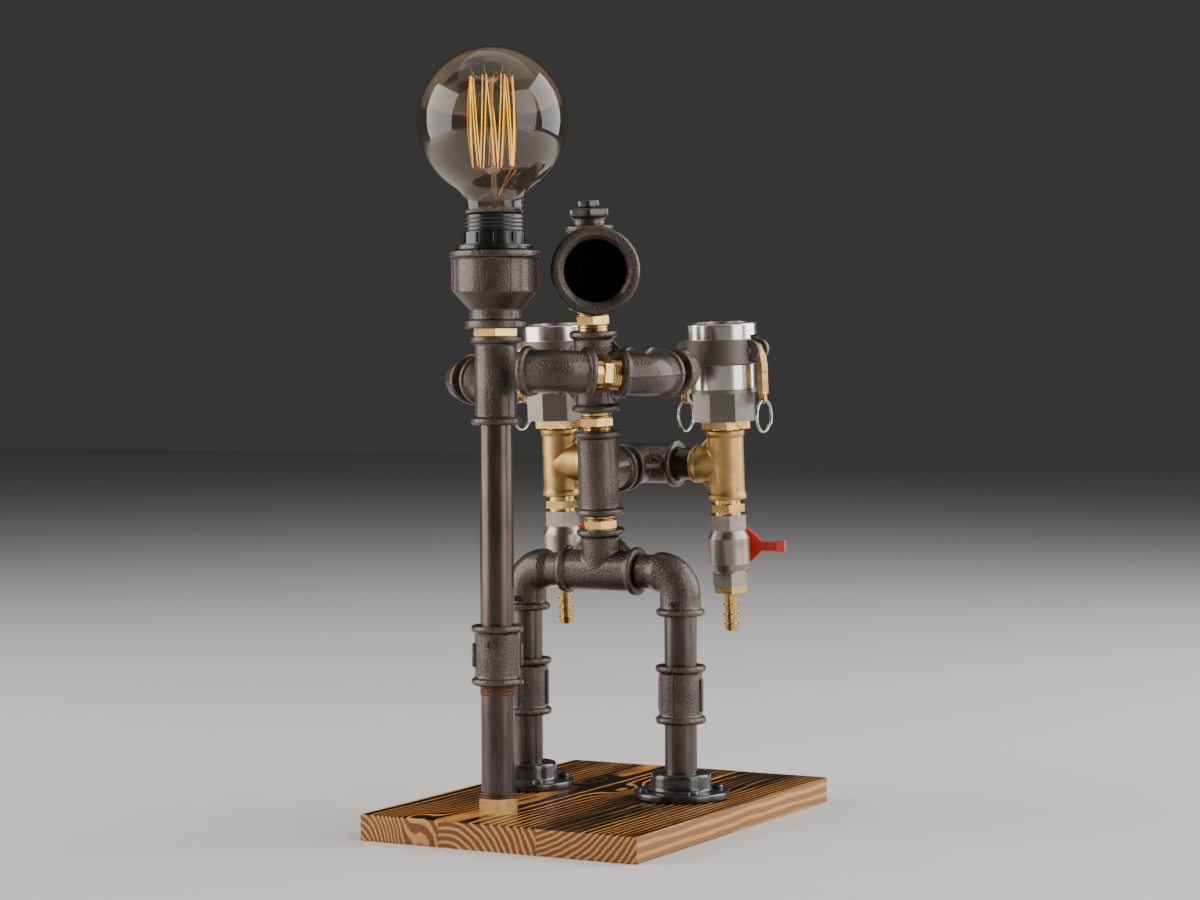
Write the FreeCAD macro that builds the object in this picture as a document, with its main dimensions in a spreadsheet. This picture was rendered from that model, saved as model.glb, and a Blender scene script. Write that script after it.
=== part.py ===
import FreeCAD, Part
import Sketcher
import math
import os

# Table lamp made of half-inch malleable iron pipe fittings.  A pipe figure stands on a board of
# three glued staves, holds a lamp pole in front of it and carries two bottle dispensers behind it.
# Lengths are in millimetres and angles in degrees.  X runs along the board's short edge towards
# the figure's left hand, Y from its front to its back, Z up.  The origin is the middle of the
# board's underside.

V = FreeCAD.Vector
UP = V(0, 0, 1)

SIZES = {
    # board
    "board_width": 198.0,           # along X, the three staves together
    "board_length": 280.0,          # along Y
    "board_thickness": 17.0,
    "left_stave_width": 70.0,
    "right_stave_width": 58.0,
    "stance_across": -6.0,          # column from the board's middle, along X
    "stance_along": 12.0,           # column from the board's middle, along Y
    # half-inch pipe and its fittings
    "pipe_radius": 10.65,
    "pipe_bore_radius": 8.0,
    "thread_clearance": 0.04,       # radial gap between a male end and the fitting around it
    "engagement": 11.0,             # length of a male end inside a fitting
    "socket_depth": 13.0,           # depth of a fitting's threaded bore
    "fitting_radius": 13.4,
    "bead_radius": 16.0,
    "bead_width": 4.6,
    "bead_round": 1.7,
    "tee_reach": 28.0,              # centre to face
    "cross_reach": 26.6,
    "elbow_reach": 28.0,
    "shallow_elbow_reach": 22.0,       # the forty-five degree elbow
    "bend_radius": 15.0,
    "web_thickness": 3.4,
    # legs
    "leg_spacing": 115.8,
    "flange_radius": 31.2,
    "flange_thickness": 5.4,
    "flange_height": 17.0,
    "hub_radius": 19.4,
    "flange_screw_circle_radius": 25.4,
    "screw_radius": 1.8,
    "screw_head_radius": 3.6,
    "screw_head_height": 2.4,
    "screw_length": 19.0,
    "shin_visible": 32.0,
    "thigh_visible": 32.0,
    "coupling_length": 38.2,
    "coupling_radius": 14.3,
    "coupling_bead_radius": 16.6,
    "street_neck_radius": 11.4,
    # column
    "lean": 3.9,                    # the figure leans forward about its hips
    "waist_collar_below": 0.5,
    "waist_collar_above": 3.4,
    "chest_collar_below": 3.3,
    "chest_collar_above": 4.1,
    "neck_collar_below": 4.6,
    "neck_collar_above": 3.8,
    "nipple_hex_height": 5.1,
    "nipple_hex_flats": 20.8,
    "nipple_collar_radius": 9.3,
    "face_turn": 31.0,              # the face looks to the figure's left of straight ahead
    "face_gap": 1.6,
    "face_length": 44.0,
    "face_bead_radius": 28.4,
    "face_barrel_length": 13.0,
    "face_bead_width": 6.4,
    "face_body_radius": 25.4,
    "face_mouth_radius": 23.4,
    "face_bore_radius": 19.6,
    "face_bore_depth": 20.0,
    "crown_thread_visible": 5.0,
    "crown_hex_flats": 25.6,
    "crown_hex_height": 5.9,
    "crown_plug_flats": 14.2,
    "crown_plug_height": 5.6,
    "crown_plug_radius": 6.4,
    # arms
    "shoulder_turn": 4.4,           # the shoulders are turned about the column
    "left_shoulder_visible": 11.1,
    "right_shoulder_visible": 16.1,
    "left_forearm_visible": 12.0,
    "right_forearm_visible": 0.8,
    "left_forearm_drop": 2.4,       # degrees below the shoulders' plane
    "left_wrist_rise": 6.7,         # turn of the left forearm elbow on its nipple
    "left_wrist_visible": 18.1,
    "right_wrist_visible": 14.8,
    "wrist_turn": 45.0,
    # pole
    "foot_hex_flats": 24.0,
    "foot_hex_height": 9.8,
    "foot_collar_height": 3.2,
    "foot_collar_radius": 11.6,
    "foot_bolt_radius": 4.0,
    "foot_bolt_head_radius": 7.0,
    "foot_bolt_head_height": 4.6,
    "foot_bolt_sink": 6.0,
    "pole_lower_visible": 68.2,
    "pole_upper_visible": 126.5,
    "pole_hex_flats": 27.0,
    "pole_hex_height": 4.6,
    "lamp_bead_step": 2.7,
    "lamp_bead_width": 4.5,
    "lamp_body_radius": 26.3,
    "lamp_body_height": 21.8,
    "lamp_cone_height": 10.6,
    "lamp_neck_radius": 16.6,
    "lamp_neck_height": 6.8,
    "lamp_foot_radius": 19.3,
    "lamp_foot_height": 5.4,
    "lamp_bore_radius": 21.0,
    "three_quarter_radius": 13.2,
    # lamp holder and bulb
    "shade_ring_radius": 25.0,
    "shade_ring_height": 3.8,
    "shade_collar_radius": 21.2,
    "shade_collar_height": 7.6,
    "holder_radius": 18.9,
    "holder_bore_radius": 14.2,
    "holder_above_collar": 11.2,
    "holder_below_rim": 24.0,
    "holder_floor": 4.0,
    "core_height": 6.0,
    "cap_radius": 13.2,
    "cap_height": 23.0,
    "cap_wall": 0.6,
    "cap_tip_radius": 5.0,
    "cap_tip_height": 3.0,
    "globe_radius": 47.8,
    "globe_neck_radius": 18.6,
    "globe_neck_blend": 22.0,
    "globe_rise": 58.4,             # globe centre above the holder's rim
    "glass_wall": 0.9,
    "stem_radius": 9.0,
    "stem_rod_radius": 1.8,
    "stem_flare_height": 16.0,
    "stem_rod_top": 86.0,           # rod's upper end above the holder's rim
    "filament_radius": 0.3,
    "filament_low": 31.0,           # above the holder's rim
    "filament_high": 86.0,
    "filament_low_radius": 14.2,
    "filament_high_radius": 10.6,
    # dispensers
    "back_gap": 6.0,                # bare nipple between the torso's branch and the back tee
    "crossbar_gap": 12.3,
    "small_thread_radius": 9.9,
    "brass_reach": 23.2,
    "brass_radius": 12.0,
    "brass_bead_radius": 12.9,
    "brass_bead_width": 3.7,
    "bushing_gap": 1.1,
    "bushing_hex_flats": 32.0,
    "bushing_hex_height": 5.2,
    "coupler_octagon_flats": 40.4,
    "coupler_octagon_height": 21.6,
    "coupler_barrel_radius": 21.9,
    "coupler_barrel_height": 15.8,
    "coupler_cup_radius": 24.2,
    "coupler_cup_height": 17.4,
    "coupler_rim_radius": 23.5,
    "coupler_rim_height": 10.2,
    "coupler_bore_radius": 18.5,
    "coupler_bore_depth": 27.0,
    "coupler_land": 6.5,            # bore above the relief groove
    "relief_width": 1.2,
    "relief_depth": 0.6,
    "gasket_height": 3.6,
    "gasket_hole_radius": 13.0,
    "gasket_gap": 0.1,
    "pivot_radius": 23.5,           # lever pins from the coupler's axis
    "pivot_drop": 18.1,             # lever pins below the coupler's top
    "slot_above_pin": 10.2,
    "slot_below_pin": 8.4,
    "lever_width": 9.0,
    "lever_side_gap": 0.35,
    "ear_thickness": 3.5,
    "ear_radius": 7.0,
    "ear_rise": 1.4,
    "pin_radius": 1.9,
    "pin_clearance": 0.06,
    "cam_radius": 5.0,
    "cam_throw": 2.0,
    "lever_hub_radius": 4.9,
    "lever_arm_inset": 3.2,         # arm's inner face from the pin, outwards
    "lever_arm_thickness": 4.2,
    "lever_arm_length": 36.0,       # below the pin
    "lever_panel_depth": 0.7,
    "lever_tip_width": 4.4,
    "lever_tip_length": 6.5,
    "ring_hole_radius": 1.5,
    "ring_radius": 10.8,            # to the middle of the wire
    "ring_wire_radius": 0.95,
    "ring_hole_inset": 3.0,
    "valve_collar_below": 2.1,
    "valve_collar_above": 3.1,
    "valve_hex_flats": 22.8,
    "valve_top_hex_height": 10.0,
    "valve_body_height": 28.8,
    "valve_low_hex_height": 8.9,
    "valve_shoulder_radius": 11.5,
    "valve_belly_radius": 13.8,
    "valve_cavity_radius": 9.4,
    "ball_radius": 9.0,
    "ball_bore_radius": 5.0,
    "boss_radius": 5.4,
    "boss_length": 18.0,
    "valve_stem_radius": 3.0,
    "valve_stem_clearance": 0.05,
    "handle_plane": 23.0,           # handle's inner face from the valve's axis
    "handle_thickness": 2.2,
    "handle_hub_rise": 12.5,        # half height of the hub at the stem
    "handle_crown": 2.5,            # half width of the hub's flat top
    "handle_neck": 13.5,            # from the stem to where a wing is straight
    "handle_bend": 24.0,
    "handle_half_span": 29.0,
    "handle_wing_height": 6.4,
    "handle_tip_height": 7.8,
    "handle_tip_fold": 2.5,
    "stem_nut_flats": 7.0,
    "stem_nut_height": 3.2,
    "tail_hex_height": 4.7,
    "tail_hex_flats": 21.6,
    "barb_radius": 5.3,
    "barb_root_radius": 4.3,
    "barb_length": 26.0,
    "barb_bore_radius": 2.8,
}
BARB_COUNT = 4
FLANGE_SCREWS = 4
FILAMENT_LOOPS = 7
STRETCH = 0.5       # how far a cut runs past the face it opens
OVERLAP = 1.0       # how far fused features run into each other

doc = FreeCAD.newDocument("pipe_figure_lamp")
sheet = doc.addObject("Spreadsheet::Sheet", "Sizes")
for row, (alias, number) in enumerate(SIZES.items(), start=1):
    sheet.set("A%d" % row, alias)
    sheet.set("B%d" % row, str(number))
    sheet.setAlias("B%d" % row, alias)
doc.recompute()


class Size:
    """A number together with the sheet formula that gives it."""

    def __init__(self, number, formula):
        self.number = float(number)
        self.formula = formula

    def __add__(self, other):
        other = size(other)
        return Size(self.number + other.number, "(%s + %s)" % (self.formula, other.formula))

    def __sub__(self, other):
        other = size(other)
        return Size(self.number - other.number, "(%s - %s)" % (self.formula, other.formula))

    def __mul__(self, factor):
        return Size(self.number * factor, "(%s * %r)" % (self.formula, factor))

    def __truediv__(self, factor):
        return self * (1.0 / factor)

    def __neg__(self):
        return Size(-self.number, "(-%s)" % self.formula)

    def __radd__(self, other):
        return size(other) + self

    def __rsub__(self, other):
        return size(other) - self


def size(value):
    """A Size from a sheet alias, a plain number or a Size."""
    if isinstance(value, Size):
        return value
    if isinstance(value, str):
        return Size(sheet.get(value), "Sizes." + value)
    return Size(value, "%r" % float(value))


ZERO = size(0)


def new_body(label):
    body = doc.addObject("PartDesign::Body", label)
    body.Label = label
    return body


def new_sketch(body, role, offset=ZERO, tilt=0.0):
    """A sketch on one of the body's own origin planes, moved along its normal and turned in it."""
    sketch = body.newObject("Sketcher::SketchObject", body.Name + "_sketch")
    plane = [item for item in body.Origin.OriginFeatures if item.Role == role][0]
    sketch.AttachmentSupport = [(plane, "")]
    sketch.MapMode = "FlatFace"
    sketch.AttachmentOffset = FreeCAD.Placement(V(0, 0, offset.number), FreeCAD.Rotation(UP, -tilt))
    if offset is not ZERO:
        sketch.setExpression("AttachmentOffset.Base.z", offset.formula)
    return sketch


def pin_down(sketch, geometry, point, across, along):
    """Fix one sketch point by two dimensions read from the sheet."""
    for letter, reading, datum in (("X", across, -2), ("Y", along, -1)):
        if abs(reading.number) < 1e-9:
            sketch.addConstraint(Sketcher.Constraint("PointOnObject", geometry, point, datum))
        else:
            rule = Sketcher.Constraint("Distance" + letter, -1, 1, geometry, point, reading.number)
            index = sketch.addConstraint(rule)
            sketch.setExpression("Constraints[%d]" % index, reading.formula)


def draw_outline(sketch, points):
    """A closed outline of straight lines through points given as pairs of sizes."""
    points = [(size(across), size(along)) for across, along in points]
    corners = [V(across.number, along.number, 0) for across, along in points]
    count = len(points)
    first = sketch.GeometryCount
    for index in range(count):
        sketch.addGeometry(Part.LineSegment(corners[index], corners[(index + 1) % count]))
    for index in range(count):
        following = first + (index + 1) % count
        sketch.addConstraint(Sketcher.Constraint("Coincident", first + index, 2, following, 1))
    for index, (across, along) in enumerate(points):
        pin_down(sketch, first + index, 1, across, along)


def draw_circle(sketch, radius, across=ZERO, along=ZERO):
    radius = size(radius)
    circle = Part.Circle(V(across.number, along.number, 0), UP, radius.number)
    index = sketch.addGeometry(circle)
    rule = sketch.addConstraint(Sketcher.Constraint("Radius", index, radius.number))
    sketch.setExpression("Constraints[%d]" % rule, radius.formula)
    pin_down(sketch, index, 3, across, along)


def draw_polygon(sketch, flats, sides):
    """A regular polygon about the sketch's origin, a corner on its horizontal axis."""
    corner = size(flats) / (2 * math.cos(math.pi / sides))
    spots = []
    for step in range(sides):
        angle = 2 * math.pi * step / sides
        spots.append((corner * math.cos(angle), corner * math.sin(angle)))
    draw_outline(sketch, spots)


def turn(body, profile, tilt=0.0, cut=False):
    """Turn (radius, height) pairs about the body's Z axis, or about Z tilted towards X."""
    sketch = new_sketch(body, "XZ_Plane", tilt=tilt)
    draw_outline(sketch, profile)
    kind = "PartDesign::Groove" if cut else "PartDesign::Revolution"
    feature = body.newObject(kind, body.Name + "_turned")
    feature.Profile = sketch
    feature.ReferenceAxis = (sketch, ["V_Axis"])
    feature.Angle = 360
    body.Tip = feature
    return feature


def drill(body, radius, low, high, tilt=0.0):
    """A round bore along the body's Z axis, or along Z tilted towards X."""
    return turn(body, [(ZERO, low), (radius, low), (radius, high), (ZERO, high)], tilt, cut=True)


def extrude(body, sketch, length, cut=False, middle=False, back=False):
    """Pad or pocket a sketch."""
    feature = body.newObject("PartDesign::Pocket" if cut else "PartDesign::Pad", body.Name + "_run")
    feature.Profile = sketch
    feature.Midplane = middle
    feature.Reversed = back
    feature.Length = size(length).number
    feature.setExpression("Length", size(length).formula)
    body.Tip = feature
    return feature


def spanner_prism(body, flats, low, high, sides=6):
    """A hexagon or octagon bar along Z with its corners turned off at both ends."""
    low, high = size(low), size(high)
    sketch = new_sketch(body, "XY_Plane", offset=low)
    draw_polygon(sketch, flats, sides)
    extrude(body, sketch, high - low)
    inner = size(flats) * (0.98 * 0.5 / math.cos(math.pi / sides))
    outer = size(flats) * 0.65
    trim = (outer - inner) * 0.5
    turn(body, [(inner, high), (outer, high), (outer, high - trim)], cut=True)
    turn(body, [(inner, low), (outer, low), (outer, low + trim)], cut=True)


def soften(body, radii, amount):
    """Round the circular edges of the given radii."""
    doc.recompute()
    base = body.Tip
    wanted = [size(radius).number for radius in radii]
    names = []
    for index, edge in enumerate(base.Shape.Edges, start=1):
        curve = edge.Curve
        if not isinstance(curve, Part.Circle):
            continue
        if any(abs(curve.Radius - radius) < 1e-4 for radius in wanted):
            names.append("Edge%d" % index)
    feature = body.newObject("PartDesign::Fillet", body.Name + "_rounds")
    feature.Base = (base, names)
    feature.Radius = size(amount).number
    feature.setExpression("Radius", size(amount).formula)
    body.Tip = feature


# ---------------------------------------------------------------- frames and placing

def frame(x=0.0, y=0.0, z=0.0, rotation=None):
    return FreeCAD.Placement(V(x, y, z), rotation or FreeCAD.Rotation())


def facing(x_dir, z_dir):
    """The rotation that sends X and Z to two directions at right angles."""
    z_dir = V(z_dir).normalize()
    x_dir = V(x_dir) - z_dir * V(x_dir).dot(z_dir)
    x_dir.normalize()
    return FreeCAD.Rotation(x_dir, z_dir.cross(x_dir), z_dir, "ZXY")


def along(direction):
    """Any rotation that sends Z to the direction."""
    return FreeCAD.Rotation(UP, V(direction))


def mm(alias):
    return size(alias).number


nodes = {}


def keep(label, pieces, places):
    """Place the solids of one node and group them under its name when there are several."""
    for piece, place in zip(pieces, places):
        piece.Placement = place
    if len(pieces) == 1:
        nodes[label] = pieces[0]
        return
    group = doc.addObject("Part::Compound", label)
    group.Label = label
    group.Links = pieces
    nodes[label] = group


PIPE_FIT = size("pipe_radius") + "thread_clearance"
SMALL_FIT = size("small_thread_radius") + "thread_clearance"


# ---------------------------------------------------------------- fittings

IRON = {"neck": "fitting_radius", "bead": "bead_radius", "width": "bead_width", "fit": PIPE_FIT}
BRASS = {"neck": "brass_radius", "bead": "brass_bead_radius", "width": "brass_bead_width",
         "fit": SMALL_FIT}


def sleeve(body, reach, tilt=0.0, style=IRON):
    """One end of a cast fitting: a plain neck from the centre to a beaded face."""
    reach = size(reach)
    step = reach - style["width"]
    turn(body, [(ZERO, ZERO), (style["neck"], ZERO), (style["neck"], step),
                (style["bead"], step), (style["bead"], reach), (ZERO, reach)], tilt)


def open_sleeve(body, reach, tilt=0.0, style=IRON):
    """The threaded bore and the waterway of one end."""
    reach = size(reach)
    floor = reach - "socket_depth"
    mouth = reach + STRETCH
    turn(body, [(ZERO, ZERO), ("pipe_bore_radius", ZERO), ("pipe_bore_radius", floor),
                (style["fit"], floor), (style["fit"], mouth), (ZERO, mouth)], tilt, cut=True)


def web(body, across_reach, along_reach, across_sign, along_sign, style=IRON):
    """The thin cast web in the corner between two ends."""
    near = size(style["neck"]) - OVERLAP
    across = size(across_reach) - style["width"]
    along_end = size(along_reach) - style["width"]
    points = [(near, near), (across, near), (near, along_end)]
    sketch = new_sketch(body, "XZ_Plane")
    draw_outline(sketch, [(x * across_sign, z * along_sign) for x, z in points])
    extrude(body, sketch, "web_thickness", middle=True)


def branch_fitting(label, run_reach, branch_reach, branches, style=IRON):
    """A tee or a cross: the run along Z and the branches along X."""
    body = new_body(label)
    ends = [(run_reach, 0), (run_reach, 180)] + [(branch_reach, tilt) for tilt in branches]
    for reach, tilt in ends:
        sleeve(body, reach, tilt, style)
    for tilt in branches:
        for along_sign in (1, -1):
            web(body, branch_reach, run_reach, 1 if tilt > 0 else -1, along_sign, style)
    soften(body, [style["bead"]], (size(style["bead"]) - style["neck"]) * 0.6)
    for reach, tilt in ends:
        open_sleeve(body, reach, tilt, style)
    return body


def bend(body, radius, angle, cut=False):
    """Sweep a circle round the elbow's bend, from the -Z end towards X."""
    start = size("bend_radius") * math.tan(math.radians(angle / 2))
    sketch = new_sketch(body, "XY_Plane", offset=-start)
    draw_circle(sketch, radius)
    hinge = size("bend_radius")
    ends = V(hinge.number, -5, 0), V(hinge.number, 5, 0)
    line = sketch.addGeometry(Part.LineSegment(ends[0], ends[1]), True)
    pin_down(sketch, line, 1, hinge, size(-5))
    pin_down(sketch, line, 2, hinge, size(5))
    kind = "PartDesign::Groove" if cut else "PartDesign::Revolution"
    feature = body.newObject(kind, body.Name + "_bend")
    feature.Profile = sketch
    feature.ReferenceAxis = (sketch, ["Axis0"])
    feature.Angle = angle
    body.Tip = feature
    doc.recompute()
    if feature.Shape.isNull() or bend_went_wrong(feature, cut):
        feature.Reversed = True
    return start


def bend_went_wrong(feature, cut):
    """True when the bend turned down, away from the other end of the elbow."""
    if cut:
        return feature.AddSubShape.BoundBox.ZMax < -0.5
    return feature.Shape.BoundBox.ZMax < 0.5


def elbow(label, angle, reach):
    """A female elbow: one end along -Z, the other along Z tilted towards X by the angle."""
    body = new_body(label)
    reach = size(reach)
    start = bend(body, size("fitting_radius"), angle)
    step = reach - "bead_width"
    for tilt in (180, angle):
        turn(body, [(ZERO, start), ("fitting_radius", start), ("fitting_radius", step),
                    ("bead_radius", step), ("bead_radius", reach), (ZERO, reach)], tilt)
    if angle == 90:
        web(body, reach, reach, 1, -1)
    soften(body, ["bead_radius"], "bead_round")
    bend(body, size("pipe_bore_radius"), angle, cut=True)
    for tilt in (180, angle):
        bore_end(body, reach, start, tilt)
    return body


def bore_end(body, reach, start, tilt):
    """The threaded bore of an elbow's end, joined to the bend's waterway."""
    floor = reach - "socket_depth"
    mouth = reach + STRETCH
    turn(body, [(ZERO, start), ("pipe_bore_radius", start), ("pipe_bore_radius", floor),
                (PIPE_FIT, floor), (PIPE_FIT, mouth), (ZERO, mouth)], tilt, cut=True)


def street_elbow(label, neck_end, male_end):
    """A ninety degree elbow with a beaded female end down and a male end along X."""
    body = new_body(label)
    reach = size("elbow_reach")
    start = bend(body, size("fitting_radius"), 90)
    step = reach - "bead_width"
    turn(body, [(ZERO, start), ("fitting_radius", start), ("fitting_radius", step),
                ("bead_radius", step), ("bead_radius", reach), (ZERO, reach)], 180)
    taper = start + 5
    turn(body, [(ZERO, start), ("fitting_radius", start), ("street_neck_radius", taper),
                ("street_neck_radius", neck_end), ("pipe_radius", neck_end),
                ("pipe_radius", male_end), (ZERO, male_end)], 90)
    soften(body, ["bead_radius"], "bead_round")
    bend(body, size("pipe_bore_radius"), 90, cut=True)
    bore_end(body, reach, start, 180)
    drill(body, "pipe_bore_radius", start, male_end + STRETCH, 90)
    return body


def tube(label, low, high, radius="pipe_radius", bore="pipe_bore_radius"):
    """A plain pipe along Z."""
    body = new_body(label)
    turn(body, [(bore, low), (radius, low), (radius, high), (bore, high)])
    return body


def hex_nipple(label, below, above, flats="nipple_hex_flats", thread="pipe_radius"):
    """A nipple with a hexagon: its first bare collar starts at Z zero."""
    body = new_body(label)
    low = -size("engagement")
    hex_low = size(below)
    hex_high = hex_low + "nipple_hex_height"
    end = hex_high + size(above)
    collar = size("nipple_collar_radius")
    turn(body, [("pipe_bore_radius", low), (thread, low), (thread, ZERO), (collar, ZERO),
                (collar, end), (thread, end), (thread, end + "engagement"),
                ("pipe_bore_radius", end + "engagement")])
    spanner_prism(body, flats, hex_low, hex_high)
    drill(body, "pipe_bore_radius", low - STRETCH, end + "engagement" + STRETCH)
    return body


def coupling(label):
    """A straight socket with a bead at each end, its lower face at Z zero."""
    body = new_body(label)
    top = size("coupling_length")
    bead = size("bead_width")
    turn(body, [(ZERO, ZERO), ("coupling_bead_radius", ZERO), ("coupling_bead_radius", bead),
                ("coupling_radius", bead), ("coupling_radius", top - bead),
                ("coupling_bead_radius", top - bead), ("coupling_bead_radius", top), (ZERO, top)])
    soften(body, ["coupling_bead_radius"], "bead_round")
    drill(body, PIPE_FIT, -STRETCH, top + STRETCH)
    return body


# ---------------------------------------------------------------- frames of the figure

board_top = frame(z=mm("board_thickness"))
under_column = board_top * frame(mm("stance_across"), mm("stance_along"))
LEG_SHIFT = size("leg_spacing") / 2
HIP = (size("flange_height") + "shin_visible" + "coupling_length" + "thigh_visible"
       + "elbow_reach")
torso = under_column * frame(z=HIP.number, rotation=FreeCAD.Rotation(V(1, 0, 0), mm("lean")))

WAIST = size("waist_collar_below") + "nipple_hex_height" + "waist_collar_above"
CHEST = size("chest_collar_below") + "nipple_hex_height" + "chest_collar_above"
NECK = size("neck_collar_below") + "nipple_hex_height" + "neck_collar_above"
CHEST_TEE = size("tee_reach") * 2 + WAIST
SHOULDERS = CHEST_TEE + "tee_reach" + CHEST + "cross_reach"
HEAD = SHOULDERS + "cross_reach" + NECK + "tee_reach"


# ---------------------------------------------------------------- board

def screw_spots():
    """Centres of the flange screws on the board, as pairs of sizes."""
    spots = []
    for side in (1, -1):
        for number in range(FLANGE_SCREWS):
            angle = math.radians(360 / FLANGE_SCREWS * (number + 0.5))
            radius = size("flange_screw_circle_radius")
            across = size("stance_across") + LEG_SHIFT * side + radius * math.cos(angle)
            back = size("stance_along") + radius * math.sin(angle)
            spots.append((across, back))
    return spots


SCREW_SPOTS = screw_spots()
WRIST = math.radians(SIZES["wrist_turn"])


def stave(label, low, high, pole_across, pole_back):
    """One glued stave with the pilot holes and the foot bolt's hole that fall in it."""
    body = new_body(label)
    half = size("board_length") / 2
    sketch = new_sketch(body, "XY_Plane")
    draw_outline(sketch, [(low, -half), (high, -half), (high, half), (low, half)])
    extrude(body, sketch, "board_thickness")
    pilots = new_sketch(body, "XY_Plane", offset=size("board_thickness"))
    count = 0
    for across, back in SCREW_SPOTS:
        if size(low).number < across.number < size(high).number:
            draw_circle(pilots, size("screw_radius") + "thread_clearance", across, back)
            count += 1
    depth = size("screw_length") - "flange_thickness"
    if count:
        extrude(body, pilots, depth, cut=True)
    else:
        body.removeObject(pilots)
        doc.removeObject(pilots.Name)
    if size(low).number < pole_across < size(high).number:
        holes = ((size("foot_bolt_radius") + "thread_clearance", size("board_thickness")),
                 (size("foot_bolt_head_radius") + STRETCH, size("foot_bolt_sink")))
        for radius, deep in holes:
            sketch = new_sketch(body, "XY_Plane")
            draw_circle(sketch, radius, size(pole_across), size(pole_back))
            extrude(body, sketch, deep, cut=True, back=True)
    return body


def rim_edges(body, height, amount):
    """Round the circular edges that lie at one height."""
    doc.recompute()
    base = body.Tip
    names = []
    for index, edge in enumerate(base.Shape.Edges, start=1):
        box = edge.BoundBox
        if isinstance(edge.Curve, Part.Circle) and abs(box.ZMin - size(height).number) < 1e-4 \
                and box.ZLength < 1e-4:
            names.append("Edge%d" % index)
    feature = body.newObject("PartDesign::Fillet", body.Name + "_rim")
    feature.Base = (base, names)
    feature.Radius = size(amount).number
    body.Tip = feature


def in_turn(make, label, count, *rest):
    """Several like pieces of one node."""
    return [make("%s_%d" % (label, number + 1), *rest) for number in range(count)]


# ---------------------------------------------------------------- arms as a chain of frames

def unit(vector):
    vector = V(vector)
    vector.normalize()
    return vector


shoulders = torso * frame(z=SHOULDERS.number, rotation=FreeCAD.Rotation(UP, mm("shoulder_turn")))
SIDEWAYS = shoulders.Rotation.multVec(V(1, 0, 0))
FORWARD = unit(SIDEWAYS.cross(UP))
LIFT = FORWARD.cross(SIDEWAYS) * -1
if LIFT.z < 0:
    LIFT = LIFT * -1
LEFT_FOREARM = size("elbow_reach") + "left_forearm_visible" + "shallow_elbow_reach"
RIGHT_FOREARM = size("elbow_reach") + "right_forearm_visible" + "shallow_elbow_reach"
LEFT_SHOULDER = size("cross_reach") + "left_shoulder_visible" + "elbow_reach"
RIGHT_SHOULDER = size("cross_reach") + "right_shoulder_visible" + "elbow_reach"
POLE_TEE = (size("foot_hex_height") + "foot_collar_height" + "pole_lower_visible"
            + "coupling_length" + "pole_upper_visible" + "tee_reach")

left_shoulder = shoulders.Base + SIDEWAYS * LEFT_SHOULDER.number
# The left forearm drops a little, and its elbow is turned so that the wrist rises again.
left_drop = math.radians(mm("left_forearm_drop"))
LEFT_DOWN = unit(FORWARD * math.cos(left_drop) - LIFT * math.sin(left_drop))
ABOVE_LEFT = unit(FORWARD * math.sin(left_drop) + LIFT * math.cos(left_drop))
left_forearm = left_shoulder + LEFT_DOWN * LEFT_FOREARM.number
rise = math.radians(mm("left_wrist_rise"))
LEFT_INWARD = ABOVE_LEFT * math.sin(rise) - SIDEWAYS * math.cos(rise)
left_wrist_way = unit(LEFT_DOWN * math.cos(WRIST) + LEFT_INWARD * math.sin(WRIST))
LEFT_WRIST = size("shallow_elbow_reach") * 2 + "left_wrist_visible"
left_hand = left_forearm + left_wrist_way * LEFT_WRIST.number

# The right forearm drops until its elbow is level with the tee on the pole.
right_shoulder = shoulders.Base - SIDEWAYS * RIGHT_SHOULDER.number
tee_level = mm("board_thickness") + POLE_TEE.number
drop = math.asin((right_shoulder.z - tee_level) / (RIGHT_FOREARM.number * LIFT.z))
REACH_DOWN = unit(FORWARD * math.cos(drop) - LIFT * math.sin(drop))
ABOVE_ARM = unit(FORWARD * math.sin(drop) + LIFT * math.cos(drop))
right_forearm = right_shoulder + REACH_DOWN * RIGHT_FOREARM.number
# Its wrist is level: the elbow is turned on the forearm until nothing of the slope is left.
slope = -REACH_DOWN.z / math.tan(WRIST)
roll = math.asin(slope / math.hypot(SIDEWAYS.z, ABOVE_ARM.z)) - math.atan2(SIDEWAYS.z, ABOVE_ARM.z)
inward = SIDEWAYS * math.cos(roll) + ABOVE_ARM * math.sin(roll)
right_wrist_way = unit(REACH_DOWN * math.cos(WRIST) + inward * math.sin(WRIST))
RIGHT_WRIST = size("shallow_elbow_reach") + "right_wrist_visible" + "tee_reach"
pole_tee_spot = right_forearm + right_wrist_way * RIGHT_WRIST.number
pole = frame(pole_tee_spot.x, pole_tee_spot.y, mm("board_thickness"))


# ---------------------------------------------------------------- board

half_board = size("board_width") / 2
right_seam = size("right_stave_width") - half_board
left_seam = half_board - "left_stave_width"
for label, low, high in (("base_stave_right", -half_board, right_seam),
                         ("base_stave_middle", right_seam, left_seam),
                         ("base_stave_left", left_seam, half_board)):
    keep(label, [stave(label + "_board", low, high, pole.Base.x, pole.Base.y)], [frame()])


# ---------------------------------------------------------------- legs

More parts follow.
